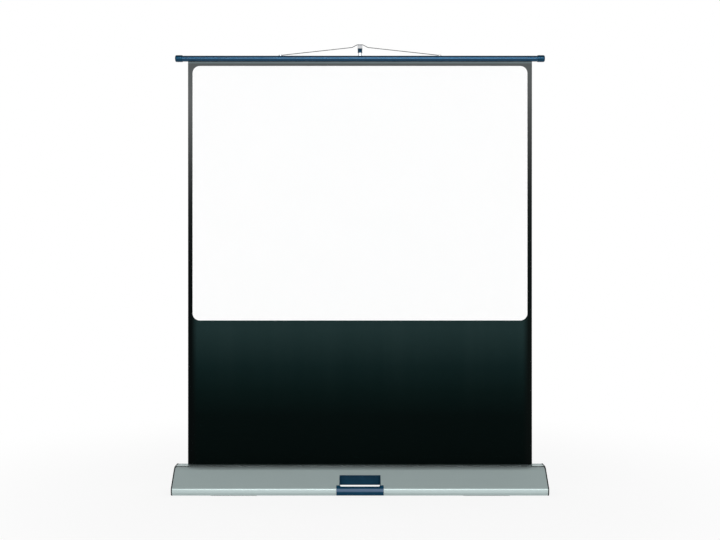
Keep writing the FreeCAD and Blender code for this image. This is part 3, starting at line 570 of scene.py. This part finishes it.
# The drop's ramp: the paler black where it starts is painted glare of light from above.
painted_drop_glare = black.shades(
    share, (0.00, 1, 7, 6), (0.14, 2, 10, 9), (0.20, 5, 19, 18), (0.26, 12, 29, 29),
    (0.35, 29, 47, 47),
)
border = from_edge.step(*BORDER).at_least(up.step(*PICTURE_FOOT))
# The border is made darker on its right side, except near the bar.
right_edge = across.step(*RIGHT_HALF) * up.step(*TOWARDS_BAR) * 0.38
border_glare_darker_right = black.mix(right_edge, painted_border_glare, tone(12, 18, 16))
front_shade = black.mix(border, painted_drop_glare, border_glare_darker_right)
to_rear = black.axis("Y", "Normal").step(0.2, 0.6)
ground_shade = black.mix(to_rear, front_shade, tone(20, 21, 22))
streaked = black.mix(
    streaks.step(0.35, 0.75) * share.step(0.1, 0.5) * 0.1, ground_shade, tone(56, 72, 71)
)
black.wear(
    colour=black.mix(threads * 0.08, streaked, tone(12, 14, 14)),
    roughness=handling * 0.12 + threads * 0.08 + 0.62,
    relief=threads + handling * 0.5, depth=0.08,
)
print("black cloth ready")

# %% Coat the picture white
paper = Cloth("white_fabric", {"Specular IOR Level": 0.25})
threads = paper.weave()
mottle = paper.noise(5.0, (1, 1, 1), 5)
paper.wear(
    colour=paper.mix(
        mottle * 0.3 + threads * 0.3, tone(252, 252, 252), tone(246, 247, 247)
    ),
    roughness=mottle * 0.08 + 0.82,
    relief=threads + mottle * 0.3, depth=0.05,
)
print("white cloth ready")

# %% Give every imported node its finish
slot_of = {row["node"]: row["material_slot"] for row in frame["record"]["subparts"]}
for name, slot in slot_of.items():
    node = frame["nodes"][name]
    if not node.material_slots:
        node.data.materials.append(None)
    for material_slot in node.material_slots:
        material_slot.material = finishes[slot]
print("finishes given to", len(slot_of), "nodes")

# %% [markdown]
# ## From mesh to piece
# Every piece is made as a bmesh in its own place and ends in the same way: it
# becomes an object, gets its finish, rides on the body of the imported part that
# it stands for, and hides that part. One function does it and says what it made.

# %% Turn a bmesh into a piece
bodies = frame["record"]["behaviour"]["bodies"]
body_of = {node: body for body, nodes in bodies.items() for node in nodes}


def finish_piece(bm, name, nodes, crisp=None):
    """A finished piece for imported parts, flat on flat faces if given a crisp angle."""
    mesh = bpy.data.meshes.new(name)
    bm.to_mesh(mesh)
    bm.free()
    slot, body = slot_of[nodes[0]], body_of[nodes[0]]
    mesh.materials.append(finishes[slot])
    for face in mesh.polygons:
        face.use_smooth = True
    piece = bpy.data.objects.new(name, mesh)
    scene.collection.objects.link(piece)
    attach(piece, body)
    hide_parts(*nodes)
    if crisp:
        mesh.set_sharp_from_angle(angle=math.radians(crisp))
        weighted = piece.modifiers.new("flat faces stay flat", "WEIGHTED_NORMAL")
        weighted.keep_sharp = True
    print(name, "on", body, "in", slot, "with", len(mesh.polygons), "faces")
    return piece


def stand_in(bm, node, crisp=40):
    """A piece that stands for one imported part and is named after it."""
    return finish_piece(bm, node + "_finished", [node], crisp)


# %% Small tools for what an operator made
def all_of(bm):
    """Every point, edge and face of a shape."""
    return bm.verts[:] + bm.edges[:] + bm.faces[:]


def points_in(made):
    """The points among the things that an operator made."""
    return [item for item in made if isinstance(item, bmesh.types.BMVert)]


def run_on(bm, ring, step=(0, 0, 0)):
    """Extrude a ring or line of edges by a step and give the new one."""
    made = bmesh.ops.extrude_edge_only(bm, edges=ring)["geom"]
    moved = points_in(made)
    bmesh.ops.translate(bm, vec=step, verts=moved)
    return [item for item in made if isinstance(item, bmesh.types.BMEdge)
            and all(spot in moved for spot in item.verts)]


def points_of(ring):
    """The points of a ring of edges, each once and always in the same order."""
    return list(dict.fromkeys(spot for edge in ring for spot in edge.verts))


def close_skin(bm, gap=None):
    """Merge points closer than a gap in millimetres and turn the faces outwards."""
    if gap:
        bmesh.ops.remove_doubles(bm, verts=bm.verts, dist=gap * MM)
    bmesh.ops.recalc_face_normals(bm, faces=bm.faces[:])
    return bm


# %% [markdown]
# ## The cloth
# The sheet is one length of coated cloth, held by its ends only: the lower end
# on the roller, the upper end in the hem strip. Stretched like that it is
# nearly flat, with soft upright waves between its ends and edges that curl a
# little to the rear. A simulation would end within a millimetre of the same
# shape, so the grid's points are moved, each by less than 2 mm.

# %% Shape of the stretched cloth
CLOTH_LOW, CLOTH_HIGH = 0.070, 1.9202
FREE_LOW, FREE_HIGH = 0.125, 1.905
WAVE_HEIGHT, CURL_HEIGHT, CURL_START, CURL_WIDTH = 0.0008, 0.0010, 0.745, 0.025


def cloth_bulge(x, z):
    """How far the cloth stands behind its plane, in metres."""
    if not FREE_LOW < z < FREE_HIGH:
        return 0.0
    free = math.sin(math.pi * (z - FREE_LOW) / (FREE_HIGH - FREE_LOW))
    waves = math.sin(9.4 * x + 0.7) * 0.5 + math.sin(17.3 * x - 1.1 + 0.8 * z) * 0.3
    curl = max(0.0, (abs(x) - CURL_START) / CURL_WIDTH) ** 2
    return free * (WAVE_HEIGHT * waves + CURL_HEIGHT * curl)


def upright_grid(columns, rows, width, low, high, corner=0.0):
    """A grid in the cloth's plane, with rounded corners if asked for."""
    bm = bmesh.new()
    bmesh.ops.create_grid(bm, x_segments=columns, y_segments=rows, size=0.5)
    bmesh.ops.scale(bm, vec=(width, high - low, 1), verts=bm.verts)
    if corner:
        bmesh.ops.bevel(
            bm, geom=bm.verts[:], offset=corner, segments=8, profile=0.5,
            affect="VERTICES", material=-1,
        )
    upright = Matrix.Rotation(math.radians(90), 4, "X")
    bmesh.ops.transform(bm, matrix=upright, verts=bm.verts)
    bmesh.ops.translate(bm, vec=(0, 0, (high + low) / 2), verts=bm.verts)
    return bm


def flat_map(bm, height_of):
    """Give the cloth a UV map in metres of flat cloth, and a crisp cut edge."""
    for edge in bm.edges:
        edge.smooth = not edge.is_boundary
    layer = bm.loops.layers.uv.new("flat")
    for face in bm.faces:
        for loop in face.loops:
            spot = loop.vert.co
            loop[layer].uv = (spot.x + CLOTH_WIDTH / 2, height_of(spot))


def thicken(piece, thickness):
    """Give a cloth its thickness in millimetres, half to each side."""
    layer = piece.modifiers.new("cloth thickness", "SOLIDIFY")
    layer.thickness = thickness * MM
    layer.offset = 0


def hang(bm, name, node, forward, thickness):
    """Map a sheet flat, then give it the stretched cloth's shape and thickness."""
    flat_map(bm, lambda spot: spot.z - CLOTH_LOW)
    for vert in bm.verts:
        vert.co.y = cloth_bulge(vert.co.x, vert.co.z) - forward
    piece = finish_piece(bm, name, [node])
    thicken(piece, thickness)
    return piece


print("waves", WAVE_HEIGHT * 1000, "mm and curl", CURL_HEIGHT * 1000, "mm high")

# %% Weave the sheet
woven = upright_grid(84, 96, CLOTH_WIDTH, CLOTH_LOW, CLOTH_HIGH)
sheet = hang(woven, "screen_cloth", "screen_sheet", 0.0, 0.5)

# %% [markdown]
# The picture area is a coating, so it can't be a colour on the sheet's front
# alone: it has a thickness of its own and rounded corners. Its outline is drawn
# with one face and cut into a grid by planes, and follows the same waves, a
# fraction of a millimetre in front of the sheet.

# %% Coat the picture area
PICTURE_WIDTH, PICTURE_ROUND = 1.500, 0.032
PICTURE_LOW, PICTURE_HIGH = 0.7565, 1.8965
PICTURE_HEIGHT = PICTURE_HIGH - PICTURE_LOW
COATING_FORWARD = 0.325 * MM

coating = upright_grid(1, 1, PICTURE_WIDTH, PICTURE_LOW, PICTURE_HIGH, PICTURE_ROUND)
middle = Vector((0, 0, (PICTURE_HIGH + PICTURE_LOW) / 2))
for direction, length, count in (
    (Vector((1, 0, 0)), PICTURE_WIDTH, 78), (Vector((0, 0, 1)), PICTURE_HEIGHT, 60),
):
    for index in range(1, count):
        bmesh.ops.bisect_plane(
            coating, geom=all_of(coating), dist=1e-6, plane_no=direction,
            plane_co=middle + direction * (length / 2) * (2 * index / count - 1),
        )
picture = hang(coating, "picture_coating", "image_surface", COATING_FORWARD, 0.15)

# %% [markdown]
# When the bar is let down the real cloth winds onto the roller. Here both
# pieces are only given meshes of their own.

# %% Give both pieces meshes of their own
for piece in (sheet, picture):
    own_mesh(piece)

# %% [markdown]
# Not quite two and a half turns of cloth stay on the roller. A plain ring would
# have no layers at its ends, so a strip is wound: its edge is turned about the
# roller's axis while it steps outwards by one thickness a turn. That gives the
# spiral that shows where the cloth's edges lie on each other.

# %% Wind the last turns on the roller
ROLLER_AXIS = Vector((0, -0.02455, 0.070))
WOUND_INNER, TURNS, TURN_STEPS = 0.02275, 2.4, 40
wound = bmesh.new()
edge = [wound.edges.new([
    wound.verts.new(ROLLER_AXIS + Vector((side * CLOTH_WIDTH / 2, WOUND_INNER, 0)))
    for side in (-1, 1)
])]
turn = Matrix.Rotation(-2 * math.pi / TURN_STEPS, 4, "X")
about = Matrix.Translation(ROLLER_AXIS) @ turn @ Matrix.Translation(-ROLLER_AXIS)
for step in range(int(TURNS * TURN_STEPS)):
    edge = run_on(wound, edge)
    bmesh.ops.transform(wound, matrix=about, verts=points_of(edge))
    for spot in points_of(edge):
        arm = spot.co - ROLLER_AXIS
        arm.x = 0
        spot.co += arm.normalized() * 0.5 * MM / TURN_STEPS
close_skin(wound)
flat_map(wound, lambda spot: 0.0)
wound = finish_piece(wound, "wound_cloth", ["wound_fabric"])
thicken(wound, 0.46)

# %% [markdown]
# ## Soft edges
# No moulding, bent sheet or rubber part has a knife edge, and it is the small
# bright line along a rounded edge that makes a rendering look real. The packed
# parts keep their sharp edges, because their meshes stay as they are. So each
# one that shows is copied, its triangles are merged into whole faces, and the
# copy gets a bevel as wide as the real rounding and stands for the part. A
# bevel in the material would shade the edge, but leave the outline sharp.

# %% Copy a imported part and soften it
def merged_copy(node):
    """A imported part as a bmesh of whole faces."""
    bm = bmesh.new()
    bm.from_mesh(frame["nodes"][node].data)
    bmesh.ops.remove_doubles(bm, verts=bm.verts, dist=0.002 * MM)
    bmesh.ops.dissolve_limit(
        bm, angle_limit=math.radians(0.5), verts=bm.verts, edges=bm.edges
    )
    return bm


def soften(bm, width, segments=2, sharpest=30, where=None):
    """Round the edges that fold by more than an angle, at the places asked for."""
    sharp = [
        edge for edge in bm.edges
        if edge.is_manifold and edge.calc_face_angle(0) > math.radians(sharpest)
        and (where is None or where(edge))
    ]
    bmesh.ops.bevel(
        bm, geom=sharp, offset=width * MM, segments=segments, profile=0.5,
        affect="EDGES", material=-1, clamp_overlap=False,
    )
    return bm


print("softening tools ready")

# %% [markdown]
# The widths are those of the trade: a drawn or moulded plastic edge is 0.5 to
# 1.5 mm round, a cut metal edge is only deburred, and rubber is moulded soft.

# %% Soften the plain parts
ROUNDING = {
    0.3: ["hem_strip"],
    0.4: ["rear_shell", "roller_bracket_left", "roller_bracket_right"],
    0.5: ["top_cover", "slot_felt_front", "slot_felt_rear", "handle_tray"],
    0.6: ["spring_end_plug", "idle_end_plug", "mast_foot_plug"],
    0.9: ["foot_left", "foot_right"],
    1.1: ["cover_bead"],
    1.4: ["mast_socket"],
}
for width, nodes in ROUNDING.items():
    for node in nodes:
        stand_in(soften(merged_copy(node), width, 3 if width > 0.8 else 2), node)

# %% [markdown]
# ## End plates
# Each end of the casing is closed by a moulded plate, held by four screws. The
# plate is cored out by a millimetre inside a flat rim, so that it doesn't sink
# while it cools. The outer face is inset twice: the first inset leaves the rim
# and the second, much narrower, steps down to the panel. One inset that goes
# in and down at once would slope from the very edge, and no rim would show.

# %% Mould the end plates
def core_out(bm, faces, rim, step, depth):
    """Sink faces by a depth inside a flat rim. All sizes are in millimetres."""
    for width, drop in ((rim, 0.0), (step, -depth)):
        bmesh.ops.inset_region(
            bm, faces=faces, thickness=width * MM, depth=drop * MM,
            use_even_offset=True, use_boundary=True,
        )


for node, side in (("end_cap_left", -1), ("end_cap_right", 1)):
    plate = merged_copy(node)
    outer = [face for face in plate.faces if face.normal.x * side > 0.99]
    reach = {face: face.calc_center_median().x * side for face in outer}
    far = max(reach.values())
    outer = [face for face in outer if reach[face] > far - 0.1 * MM]
    core_out(plate, outer, 3.4, 0.5, 1.1)
    soften(plate, 0.4, 2, 50, lambda edge: edge.calc_length() > 0.6 * MM)
    stand_in(plate, node)

# %% [markdown]
# ## Front shell
# The sheet was punched for the handle before it was anodised, and the punched
# edge was broken with a file. That narrow facet catches the light, and is the
# bright line above and beside the recess in the photograph. Only the edges of
# that opening are bevelled.

# %% Break the edge of the handle's opening
def around_opening(edge):
    """True for the edges of the opening in the shell's front."""
    return all(
        abs(vert.co.x) < 0.104 and vert.co.y < -0.05 and vert.co.z > 0.002
        for vert in edge.verts
    )


shell = soften(merged_copy("front_shell"), 0.7, 2, 35, around_opening)
stand_in(shell, "front_shell")

# %% [markdown]
# ## Handle
# The grip is a thick moulding that carries the nose's outline across the
# recess, with a taller cheek at each end. It could be cut from a block, but
# the cut would leave corners that no bevel can round. So its section is drawn
# at each place along X where its height changes, with every corner rounded,
# and the outlines are bridged: each has as many points as the next.

# %% Draw and bridge the outlines of a part that lies along X
def outline(bm, x, corners, segments=5):
    """A closed outline across X. Each corner is its place and its rounding."""
    spots = [bm.verts.new((x * MM, y * MM, z * MM)) for y, z, _ in corners]
    bm.faces.new(spots)
    for spot, (_, _, rounding) in zip(spots, corners):
        bmesh.ops.bevel(
            bm, geom=[spot], offset=rounding * MM, segments=segments, profile=0.5,
            affect="VERTICES", material=-1,
        )
    return next(
        face for face in bm.faces if abs(face.calc_center_median().x - x * MM) < 1e-6
    )


def grip_outline(bm, x, top):
    """The grip's section at a place where its top is at this height."""
    slope = -65.96 - 1.0654 * (110 - top)
    return outline(bm, x, [
        (-118, 1.5, 5.5), (-118, top, 5.5), (slope, top, 0.6), (-147, 33.5, 5.4),
        (-147, 1.5, 15.5),
    ])


def along_x_only(edge):
    """True for the edges of an outline, which lie across X."""
    return abs(edge.verts[0].co.x - edge.verts[1].co.x) < 1e-6


print("outlines ready")

# %% Mould the grip
GRIP_STATIONS = [(102.5, 46), (88.1, 46), (87.3, 42.8), (83.5, 39)]
grip = bmesh.new()
stations = [(-x, top) for x, top in GRIP_STATIONS] + GRIP_STATIONS[::-1]
faces = [grip_outline(grip, x, top) for x, top in stations]
for first, second in zip(faces, faces[1:]):
    bmesh.ops.bridge_loops(grip, edges=first.edges[:] + second.edges[:])
bmesh.ops.delete(grip, geom=faces[1:-1], context="FACES_ONLY")
stand_in(soften(close_skin(grip), 1.1, 3, 28, along_x_only), "handle_grip")

# %% [markdown]
# ## Turned parts
# Screws, caps, collars and plugs are bodies of revolution, so they are made as
# on a lathe: half of the section is drawn as a line of points, each a radius
# and a height, and spun about its axis. A cylinder with bevelled ends would
# give the same bulk, but no groove, dish or seat.

# %% Spin a profile and put copies of it in place
def spun(profile, steps):
    """A turned shape about the Z axis, from (radius, height) in millimetres."""
    bm = bmesh.new()
    spots = [bm.verts.new((radius * MM, 0, height * MM)) for radius, height in profile]
    line = [bm.edges.new(pair) for pair in zip(spots, spots[1:])]
    bmesh.ops.spin(
        bm, geom=spots + line, cent=(0, 0, 0), axis=(0, 0, 1), angle=2 * math.pi,
        steps=steps, use_merge=True,
    )
    return close_skin(bm, 0.001)


def stand(place, direction, turn=0.0):
    """A matrix that puts the Z axis on a place in millimetres and aims it."""
    aim = Vector((0, 0, 1)).rotation_difference(Vector(direction)).to_matrix().to_4x4()
    turned = Matrix.Rotation(math.radians(turn), 4, "Z")
    return Matrix.Translation(Vector(place) * MM) @ aim @ turned


def put(bm, *matrices):
    """Copy a shape to every place and drop the first one."""
    first = all_of(bm)
    for matrix in matrices:
        made = bmesh.ops.duplicate(bm, geom=first)["geom"]
        bmesh.ops.transform(bm, matrix=matrix, verts=points_in(made))
    bmesh.ops.delete(bm, geom=points_in(first), context="VERTS")
    return bm


def add_shape(bm, other):
    """Take another shape's mesh into this one."""
    lent = bpy.data.meshes.new("lent")
    other.to_mesh(lent)
    other.free()
    bm.from_mesh(lent)
    bpy.data.meshes.remove(lent)
    return bm


print("lathe ready")

# %% [markdown]
# ## Screws
# The small screws have a pan head with a cross recess. The head is spun as far
# as a flat ring. The cross starts as a circle of twelve points with every third
# point pulled in, which is exactly a cross; it is bridged to the ring and
# driven down with a taper, as the punch does. A cross painted on the head
# would vanish in the mesh.

# %% Form a socket in an open ring
def drive_socket(bm, rim_height, radius, points, pulled, depth, taper):
    """Close the open ring at this height with a socket for a driver."""
    ring = [edge for edge in bm.edges if edge.is_boundary]
    made = bmesh.ops.create_circle(bm, segments=points, radius=radius * MM)["verts"]
    bmesh.ops.translate(bm, vec=(0, 0, rim_height * MM), verts=made)
    for spot in made[::3]:
        spot.co.x *= pulled
        spot.co.y *= pulled
    mouth = [edge for edge in bm.edges if all(spot in made for spot in edge.verts)]
    bmesh.ops.bridge_loops(bm, edges=ring + mouth)
    bottom = points_of(run_on(bm, mouth, (0, 0, -depth * MM)))
    for spot in bottom:
        spot.co.x *= taper
        spot.co.y *= taper
    bmesh.ops.contextual_create(bm, geom=bottom)
    return close_skin(bm)


def pan_screw(length):
    """A pan head screw, its seat at Z = 0 and its shank below it."""
    head = spun([
        (0, -length), (1.3, -length), (2.0, 0.9 - length), (2.0, -0.6), (2.15, 0),
        (3.85, 0), (4.0, 0.15), (4.0, 0.8), (3.8, 1.35), (3.3, 1.8), (2.6, 2.1),
        (1.9, 2.2),
    ], 24)
    return drive_socket(head, 2.2, 1.6, 12, 0.366, 1.25, 0.75)


END_SCREWS = [
    ((side * 820.5, y, z), (side, 0, 0)) for side in (-1, 1)
    for y in (-48.55, -0.55) for z in (42, 98)
]
HANDLE_SCREWS = [((x, -116, 23), (0, 1, 0)) for x in (-95, 95)]
SOCKET_SCREWS = [((x, 10, z), (0, -1, 0)) for x in (-14, 14) for z in (44, 92)]
for node, length, places in (
    ("end_cap_screws", 8, END_SCREWS), ("handle_screws", 10, HANDLE_SCREWS),
    ("socket_screws", 10, SOCKET_SCREWS),
):
    turns = [stand(*place, 37 * number) for number, place in enumerate(places)]
    stand_in(put(pan_screw(length), *turns), node, 35)

# %% [markdown]
# Each foot turns on a bolt that comes up from below, where a low head leaves
# room over the floor. It has a hexagon socket, and a hexagon nut closes it
# inside the casing. The nut is turned like the rest, but with six steps.

# %% Make the pivot bolts and their nuts
bolt = drive_socket(spun([
    (0, -37.6), (3.4, -37.6), (4.0, -37.0), (4.0, 0), (8.7, 0), (9.0, 0.3), (8.9, 0.8),
    (7.8, 1.45), (6.2, 1.9), (4.6, 2.0),
], 32), 2.0, 2.9, 6, 1.0, 1.6, 0.95)
nut = spun([
    (4.7, 0), (8.2, 0), (9.0, 0.4), (9.0, 3.6), (8.2, 4.0), (4.7, 4.0), (4.7, 0),
], 6)
put(bolt, *[stand((side * 600, -60, 2.7), (0, 0, -1), 20 * side) for side in (-1, 1)])
put(nut, *[stand((side * 600, -60, 36), (0, 0, 1), 11 * side) for side in (-1, 1)])
stand_in(add_shape(bolt, nut), "foot_bolts", 35)

# %% [markdown]
# ## Caps of the bar
# A cap is a thin moulded cup over each end of the bar. In the photograph its
# outer corner is well rounded and its open end is a small step up from the
# bar. The profile has both, and a shallow dish in the end face. It is turned
# upright and laid along X.

# %% Turn the end caps
CAP_START, BAR_HEIGHT = 795, 1929.5
CAP_PROFILE = [
    (0, 28), (13.05, 28), (13.05, 0.5), (13.4, 0.1), (14.6, 0), (15.1, 0.25), (15.35, 0.8),
    (15.35, 25.6), (15.2, 27.2), (14.7, 28.8), (13.9, 30.2), (12.8, 31.3), (11.5, 31.85),
    (10.2, 32), (8.8, 32), (8.3, 31.75), (7.6, 31.2), (6.5, 31.0), (0, 30.9),
]
for node, side in (("bar_cap_left", -1), ("bar_cap_right", 1)):
    place = stand((side * CAP_START, 0, BAR_HEIGHT), (side, 0, 0))
    stand_in(put(spun(CAP_PROFILE, 64), place), node, 50)

# %% [markdown]
# The two eyes are small cast lugs, brazed on the bar's crown. A flat foot would
# touch a round bar along one line only, so each copy's foot is let into the
# tube's wall before its edges are rounded.

# %% Seat the eyes on the bar
SEAT_DEPTH = 1.3
for node in ("bail_eye_left", "bail_eye_right"):
    eye = merged_copy(node)
    foot = min(spot.co.z for spot in eye.verts)
    for spot in eye.verts:
        if spot.co.z < foot + 0.1 * MM:
            spot.co.z -= SEAT_DEPTH * MM
    stand_in(soften(eye, 0.7, 3), node)

# %% [markdown]
# ## Collars of the mast
# The collar under the hook has two fine grooves for the fingers. Each twist
# lock is a fluted knob: its ring of points is scalloped while it is still a
# flat outline, and the outline is extruded upwards in steps, drawn in a little
# at both ends. That keeps the flutes sharp along the knob and soft at its rims.

# %% Turn the collar under the hook
MAST_AXIS = 31
HEAD_PROFILE = [
    (9.05, 0), (9.9, 0), (10.3, 0.4), (10.3, 3.4), (9.9, 3.7), (9.9, 4.5), (10.3, 4.8),
    (10.3, 8.6), (9.9, 8.9), (9.9, 9.7), (10.3, 10.0), (10.3, 14.0), (10.6, 15.0),
    (10.75, 15.6), (10.75, 18.6), (10.4, 19.1), (9.05, 19.1), (9.05, 0),
]


def on_mast(height):
    """A matrix that stands a turned shape on the mast's axis at a height."""
    return stand((0, MAST_AXIS, height), (0, 0, 1))


stand_in(put(spun(HEAD_PROFILE, 48), on_mast(1961)), "head_collar", 50)

# %% Flute the twist locks
FLUTES, ROUND_STEPS, LOCK_HALF = 12, 96, 20


def flute_ring(ring, radius, height, flute):
    """Set a ring of points to one level of the knob, pulled in at its flutes."""
    for spot in points_of(ring):
        angle = math.atan2(spot.co.y, spot.co.x)
        arm = radius - flute * max(0.0, math.cos(FLUTES * angle)) ** 2
        spot.co = (arm * MM * math.cos(angle), arm * MM * math.sin(angle), height * MM)


def lock_collar(below, above):
    """A fluted knob with a wide bore round one tube and a narrow one round the next."""
    bm = bmesh.new()
    bmesh.ops.create_circle(bm, segments=ROUND_STEPS, radius=below * MM)
    ring = bm.edges[:]
    flute_ring(ring, below, 20.3, 0)
    for level in (
        (below, 0.4, 0), (below + 0.4, 0, 0), (15.2, 0, 0.1), (15.7, 0.2, 0.5),
        (16, 0.8, 1.0), (16, 2.4, 1.2), (16, 21, 1.2), (16, 39.4, 1.2), (15.9, 40.6, 1.0),
        (15.3, 41.6, 0.4), (above + 2.6, 44.6, 0), (above + 2.0, 45, 0),
        (above + 0.4, 45, 0), (above, 44.6, 0), (above, 20.3, 0), (below, 20.3, 0),
    ):
        ring = run_on(bm, ring)
        flute_ring(ring, *level)
    return close_skin(bm, 0.001)


for node, seat, below, above in (
    ("lower_lock_collar", 790, 12.8, 11.05), ("upper_lock_collar", 1380, 11.05, 9.3),
):
    stand_in(put(lock_collar(below, above), on_mast(seat - LOCK_HALF)), node, 45)

# %% [markdown]
# ## The bail
# The bail is one piece of spring wire, bent at six places, whose ends turn in
# the two eyes. A bevelled curve would need its bends rounded by hand-placed
# points. Here the wire is made as it is bent: a ring of points is extruded
# along each straight run and spun about the centre of each bend. Half of it is
# made and mirrored, and the whole is leaned back onto the hook.

# %% Bend the wire
WIRE_RADIUS, BEND_RADIUS, EYE_RISE, LEAN = 1.5, 3.0, 1945.0, 3.7
ROUTE = [(364, 0), (349, 0), (35, 35), (13.5, 46.8), (0, 46.8)]
TIP_STEPS = [(1.6, 0.35), (0.94, 0.7), (0.83, 0.5)]


def spin_on(bm, ring, centre, angle):
    """Spin a ring of edges about a bend's centre and give the new ring."""
    last = bmesh.ops.spin(
        bm, geom=ring + points_of(ring), cent=centre, axis=(0, 1, 0), angle=angle,
        steps=max(5, round(abs(angle) / 0.15)),
    )["geom_last"]
    return [item for item in last if isinstance(item, bmesh.types.BMEdge)]


wire = bmesh.new()
bmesh.ops.create_circle(wire, segments=14, radius=0.8 * WIRE_RADIUS * MM, cap_ends=True)
bmesh.ops.transform(wire, matrix=stand((364, 0, 0), (-1, 0, 0)), verts=wire.verts)
ring = wire.edges[:]
for swell, step in TIP_STEPS:
    ring = run_on(wire, ring, (-step * MM, 0, 0))
    for spot in points_of(ring):
        spot.co.y *= swell
        spot.co.z *= swell
spots = [Vector((x, 0, z)) * MM for x, z in ROUTE]
here = spots[0] - Vector((sum(step for _, step in TIP_STEPS) * MM, 0, 0))
for before, corner, after in zip(spots, spots[1:], spots[2:]):
    into, out = (corner - before).normalized(), (after - corner).normalized()
    turn = into.angle(out)
    reach = BEND_RADIUS * MM * math.tan(turn / 2)
    start = corner - into * reach
    ring = run_on(wire, ring, start - here)
    sign = 1 if into.cross(out).y > 0 else -1
    centre = start + Vector((0, sign, 0)).cross(into) * BEND_RADIUS * MM
    ring = spin_on(wire, ring, centre, sign * turn)
    here = corner + out * reach
run_on(wire, ring, spots[-1] - here)
bmesh.ops.mirror(
    wire, geom=all_of(wire), matrix=Matrix(), merge_dist=0.02 * MM, axis="X"
)
close_skin(wire, 0.02)
lean = Matrix.Rotation(math.radians(-LEAN), 4, "X")
at_eyes = Matrix.Translation((0, 0, EYE_RISE * MM))
bmesh.ops.transform(wire, matrix=at_eyes @ lean, verts=wire.verts)
print("open edges of the wire:", sum(edge.is_boundary for edge in wire.edges))
finish_piece(wire, "bail_wire", ["bail_leg_left", "bail_leg_right", "bail_top"], 60)

# %% [markdown]
# ## The hook
# The hook on top of the mast is moulded with its cap. Seen from the side it is
# an arm that reaches forward over the cloth's plane, with a stop behind the
# seat where the bail lies. Its outline is extruded to the hook's width, the
# edges are rounded, and both sides are cored out behind a rim. In the
# photograph the arm hides the top of the collar behind it, so its tip hangs
# lower than its foot. A spigot under the hook plugs into the upper tube. It is
# turned separately, with a lead at its end, and starts inside the hook's foot.

# %% Mould the hook and its spigot
HOOK_HALF, HOOK_FOOT = 11, 1980.2
hook = bmesh.new()
side_face = outline(hook, -HOOK_HALF, [
    (40, HOOK_FOOT, 3.3), (40, 1995.2, 3.8), (4.9, 1995.2, 3.5), (4.9, 1989.7, 0.9),
    (-5, 1989.7, 3.5), (-5, 1974.2, 3.8), (13, 1976.0, 2.0), (21, HOOK_FOOT, 2.0),
], 4)
made = bmesh.ops.extrude_face_region(hook, geom=[side_face])["geom"]
bmesh.ops.translate(hook, vec=(2 * HOOK_HALF * MM, 0, 0), verts=points_in(made))
soften(close_skin(hook), 1.1, 3, 60)
for face in [face for face in hook.faces if abs(face.normal.x) > 0.99]:
    core_out(hook, [face], 1.5, 0.4, 2.4)
spigot = spun([(0, -27), (6.9, -27), (7.75, -25.8), (7.75, 0.6), (0, 0.6)], 40)
add_shape(hook, put(spigot, on_mast(HOOK_FOOT)))
finish_piece(hook, "bail_hook_finished", ["bail_hook", "hook_cap"], 40)

# %% [markdown]
# ## Rubber pads
# The casing stands on two rubber strips and two foot pads. Each is moulded
# with ribs across its underside, so that it grips on carpet and lets dirt out.
# The ribs are in the outline that is extruded, because a bump in the material
# would be lost in the mesh.

# %% Mould the ribbed pads
GROOVE_DEPTH, GROOVE_HALF = 0.6, 0.9


def ribbed_block(bm, low, high, ribs, axis):
    """A block between two corners, with grooves across its underside."""
    other = 1 - axis
    pitch = (high[axis] - low[axis]) / ribs
    line = [(low[axis], high[2]), (low[axis], low[2])]
    for number in range(1, ribs):
        place = low[axis] + number * pitch
        for offset, depth in ((-1, 0), (-0.55, 1), (0.55, 1), (1, 0)):
            line.append((place + offset * GROOVE_HALF, low[2] + depth * GROOVE_DEPTH))
    line += [(high[axis], low[2]), (high[axis], high[2])]
    spots = []
    for place, height in line:
        spot = Vector((0, 0, height * MM))
        spot[axis], spot[other] = place * MM, low[other] * MM
        spots.append(bm.verts.new(spot))
    made = bmesh.ops.extrude_face_region(bm, geom=[bm.faces.new(spots)])["geom"]
    across = Vector((0, 0, 0))
    across[other] = (high[other] - low[other]) * MM
    bmesh.ops.translate(bm, vec=across, verts=points_in(made))


ALONG_X, ALONG_Y = 0, 1
for node, ribs, axis, blocks in (
    ("foot_pad_left", 9, ALONG_Y, [((-613, 101, 0), (-587, 141, 3))]),
    ("foot_pad_right", 9, ALONG_Y, [((587, 101, 0), (613, 141, 3))]),
    ("nose_pads", 40, ALONG_X, [
        ((x - 100, -130, 0), (x + 100, -108, 1.5)) for x in (-550, 550)
    ]),
):
    pad = bmesh.new()
    for low, high in blocks:
        ribbed_block(pad, low, high, ribs, axis)
    stand_in(soften(close_skin(pad), 0.18), node)

# %% [markdown]
# ## Inside the roller
# The roller is sprung: a wire is wound round a fixed shaft and turns the tube
# when the bar is let down. It can't be seen from outside, but the mesh of each
# piece is a result in its own right, so the wire is a real helix, which a spin
# with a step along its axis gives in one call.

# %% Wind the torsion spring
SPRING_START, SPRING_END, SPRING_WIRE = -784.2, -524.2, 1.3
COIL_RADIUS, COIL_TURNS, COIL_STEPS = 7.2, 62, 20
spring = bmesh.new()
bmesh.ops.create_circle(spring, segments=8, radius=SPRING_WIRE * MM, cap_ends=True)
coil_start = ROLLER_AXIS + Vector(((SPRING_START + SPRING_WIRE) * MM, 0, 0))
off_axis = Vector((0, COIL_RADIUS * MM, 0))
bmesh.ops.translate(spring, vec=coil_start + off_axis, verts=spring.verts)
pitch = (SPRING_END - SPRING_START - 2 * SPRING_WIRE) / COIL_TURNS
bmesh.ops.spin(
    spring, geom=all_of(spring), cent=coil_start, axis=(1, 0, 0),
    dvec=(pitch * MM / COIL_STEPS, 0, 0), angle=2 * math.pi * COIL_TURNS,
    steps=COIL_TURNS * COIL_STEPS,
)
stand_in(close_skin(spring), "torsion_spring", None)
